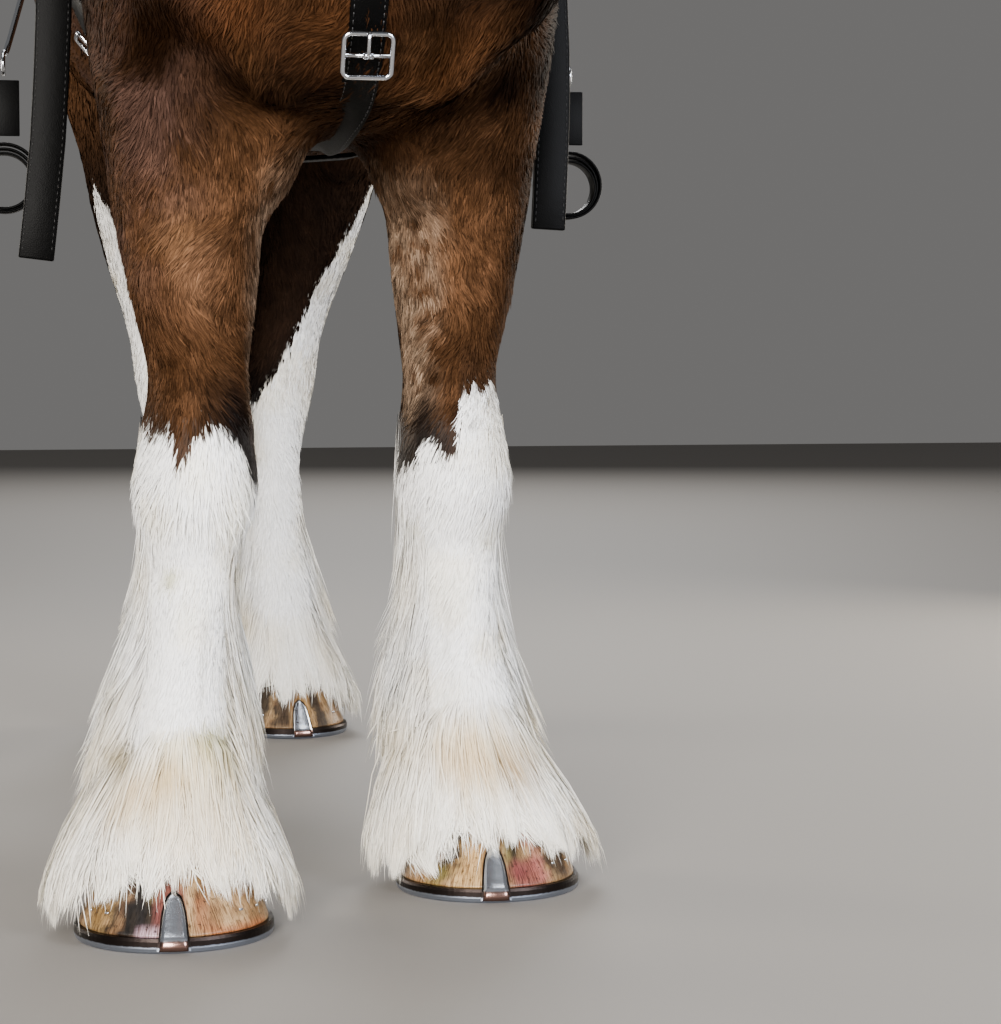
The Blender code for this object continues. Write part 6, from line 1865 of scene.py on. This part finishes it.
def fitBarrel():  # the back pad and the girth
    s = harnessSettings["barrel"]
    down = s["padDown"]
    pad = rounded("back_pad", "pad_leather", 0.005)
    stitches("pad_stitches", pad, *barrelLine(1 - down, down - 1, 90), s["pad"] / 2 - 0.004)
    finished(pad, *leather, "back_pad")
    girth = rounded("girth", "girth_leather", 0.0013)
    stitches("girth_stitches", girth, *barrelLine(down + 3, 357 - down, 150), s["girth"] / 2)
    finished(girth, *leather, "girth")


def hangTrace(name, side):  # with the tug and its ring that join it to the hame
    s = harnessSettings["trace"]
    out = Vector((side, 0, 0))
    trace = rounded(f"trace_{name}", f"trace_{name}_leather", 0.0018)
    (y0, z0), (y1, z1) = s["from"], s["to"]
    line = []
    for k in np.linspace(0.02, 0.98, 60):
        sag = 0.012 * math.sin(math.pi * k)
        line.append(skinPoint((0, y0 + (y1 - y0) * k, z0 + (z1 - z0) * k - sag), out))
    stitches(f"trace_{name}_stitches", trace, line, [out] * 60, s["width"] / 2)
    seat = treeOf(trace).ray_cast(Vector((side * 0.6, -0.11, 1.311)), -out)[0] + out * 0.005
    finished(trace, *leather, f"trace_{name}")
    front = Vector((side * 0.283, -0.240, 1.324))
    line = [front.lerp(seat, k) + out * 0.004 * math.sin(math.pi * k) for k in np.linspace(0, 1, 16)]
    finished(strap(f"tug_{name}_leather", line, [out] * 16, 0.040, 0.008), *leather, f"trace_{name}")
    middle, radius = front + Vector((0.002 * side, -0.014, 0)), 0.020
    circle = np.arange(32) * math.tau / 32
    path = [middle + Vector((0, radius * math.cos(a), radius * math.sin(a))) for a in circle]
    ring = newObject(f"tug_ring_{name}", meshFrom(tube(path, 0.0042, True), "ring"))
    finished(ring, *chrome, f"hame_{name}")


def hangEnds(name, side):  # the strap end, the tab and the coil at one side
    s = harnessSettings["hang"]
    hang = rounded(f"trace_end_{name}", f"hanging_{name}_leather", 0.0022)
    line = smoothLine([(side * x, y, z) for x, y, z in s[name]], 40)[1:-1]
    stitches(f"hanging_{name}_stitches", hang, line, [Vector((0, -1, 0))] * 38, s["width"] / 2)
    finished(hang, *leather, f"trace_end_{name}")
    finished(rounded(f"tab_{name}", f"tab_{name}_leather", 0.0012), *leather, f"tab_{name}")
    middle, _ = nodeBox(f"coil_{name}")
    for turn, (radius, shift) in enumerate(((0.0460, 0.0), (0.0415, 0.003), (0.0372, -0.002))):
        circle = np.arange(48) * math.tau / 48
        outs = np.stack([np.cos(circle), 0 * circle, np.sin(circle)], axis=1)
        centres = np.array(middle) + (0, shift, -0.002 * turn) + outs * radius
        coil = strap(f"coil_{name}_{turn}", centres, outs, 0.029, 0.0034, 0, True)
        finished(coil, *leather, f"coil_{name}")


def fitMetal(name, side):  # the snap, the hame and the girth's buckle at one side
    s = harnessSettings["barrel"]
    finished(rounded(f"snap_{name}", f"snap_{name}_chrome", levels=1), *chrome, f"snap_{name}")
    finished(rounded(f"hame_{name}", f"hame_{name}_chrome", levels=2), *chrome, f"hame_{name}")
    centre, _ = nodeBox(f"girth_buckle_{name}")
    out = (centre - Vector(s["middle"])) * Vector((1, 0, 1))
    makeBuckle(f"girth_buckle_{name}", centre, Vector((0, 1, 0)).cross(out) * side, out, s["girth"] + 0.014)


def fitCollar():  # with a welt round each of its edges
    s = harnessSettings["collar"]
    collar = rounded("collar", "collar_leather", levels=2)
    tree = treeOf(collar)
    up = Vector(s["up"]).normalized()
    along = Vector((0, -up.z, up.y))
    turns = np.arange(8) * math.tau / 8
    welts = []
    for share in (-0.58, 0.58):
        rings = []
        for angle in np.arange(96) * math.tau / 96:
            out = Vector((math.sin(angle), 0, 0)) + up * math.cos(angle)
            start = Vector(s["middle"]) + along * s["half"] * share
            hit = tree.ray_cast(start + out * 1.0, -out)[0]
            rings.append([hit + (out * math.cos(a) + along * math.sin(a)) * s["welt"] for a in turns])
        welts.append(loft(rings, close=True))
    finished(newObject("collar_welts", joined(welts, "welts")), *leather)
    finished(collar, *leather, "collar")


leather, chrome = (leatherMaterial, "harness_leather"), (chromeMaterial, "harness_chrome")
hangBreastStrap()
fitBarrel()
for name, side in sides.items():
    hangTrace(name, side)
    hangEnds(name, side)
    fitMetal(name, side)
out = Vector((0, -math.cos(math.radians(26)), -math.sin(math.radians(26))))  # off the chest at the buckle
makeBuckle("breast_buckle", nodeBox("breast_buckle")[0], Vector((-1, 0, 0)).cross(out), out,
           harnessSettings["breast"]["width"] + 0.012)
finished(rounded("hame_strap", "hame_strap_leather", 0.0013), *leather, "hame_strap")
fitCollar()
print("harness made")


# Studio

lights = {  # place, size, power and colour
    "key": ((-1.9, -5.0, 1.4), 2.2, 700, "#fffaf4"),
    "fill": ((2.8, -4.4, 1.5), 2.2, 380, "#f4f7ff"),
    "rimLeft": ((3.0, 2.2, 1.2), 1.4, 90, "#fff6e8"),
    "rimRight": ((-3.0, 2.0, 1.2), 1.4, 110, "#fff6e8"),
    "back": ((1.8, 9.0, 4.8), 3.5, 620, "#ffffff"),
    "top": ((0, 0.2, 5.2), 4.0, 190, "#ffffff"),
}
lit = Vector((0, 0, 0.8))  # where they all point
for name, (place, size, power, colour) in lights.items():
    light = bpy.data.lights.new(name, "AREA")
    light.shape = "SQUARE"
    light.size = size
    light.energy = power
    light.color = linear(colour)
    lamp = newObject(name, light)
    lamp.location = place
    lamp.rotation_euler = (Vector(place) - lit).to_track_quat("Z", "Y").to_euler()
world = bpy.data.worlds.new("studio")
bpy.context.scene.world = world
world.use_nodes = True
world.node_tree.nodes["Background"].inputs["Color"].default_value = (*linear("#d6d4d2"), 1)
world.node_tree.nodes["Background"].inputs["Strength"].default_value = 0.24
floorBm = bmesh.new()
bmesh.ops.create_grid(floorBm, x_segments=2, y_segments=2, size=14)
floor = newObject("floor", meshFrom(floorBm, "floor"))
floorMaterial, _, _ = newMaterial("pale studio floor", Base_Color="#75716c", Roughness=0.75)
floor.data.materials.append(floorMaterial)
print("studio lit")
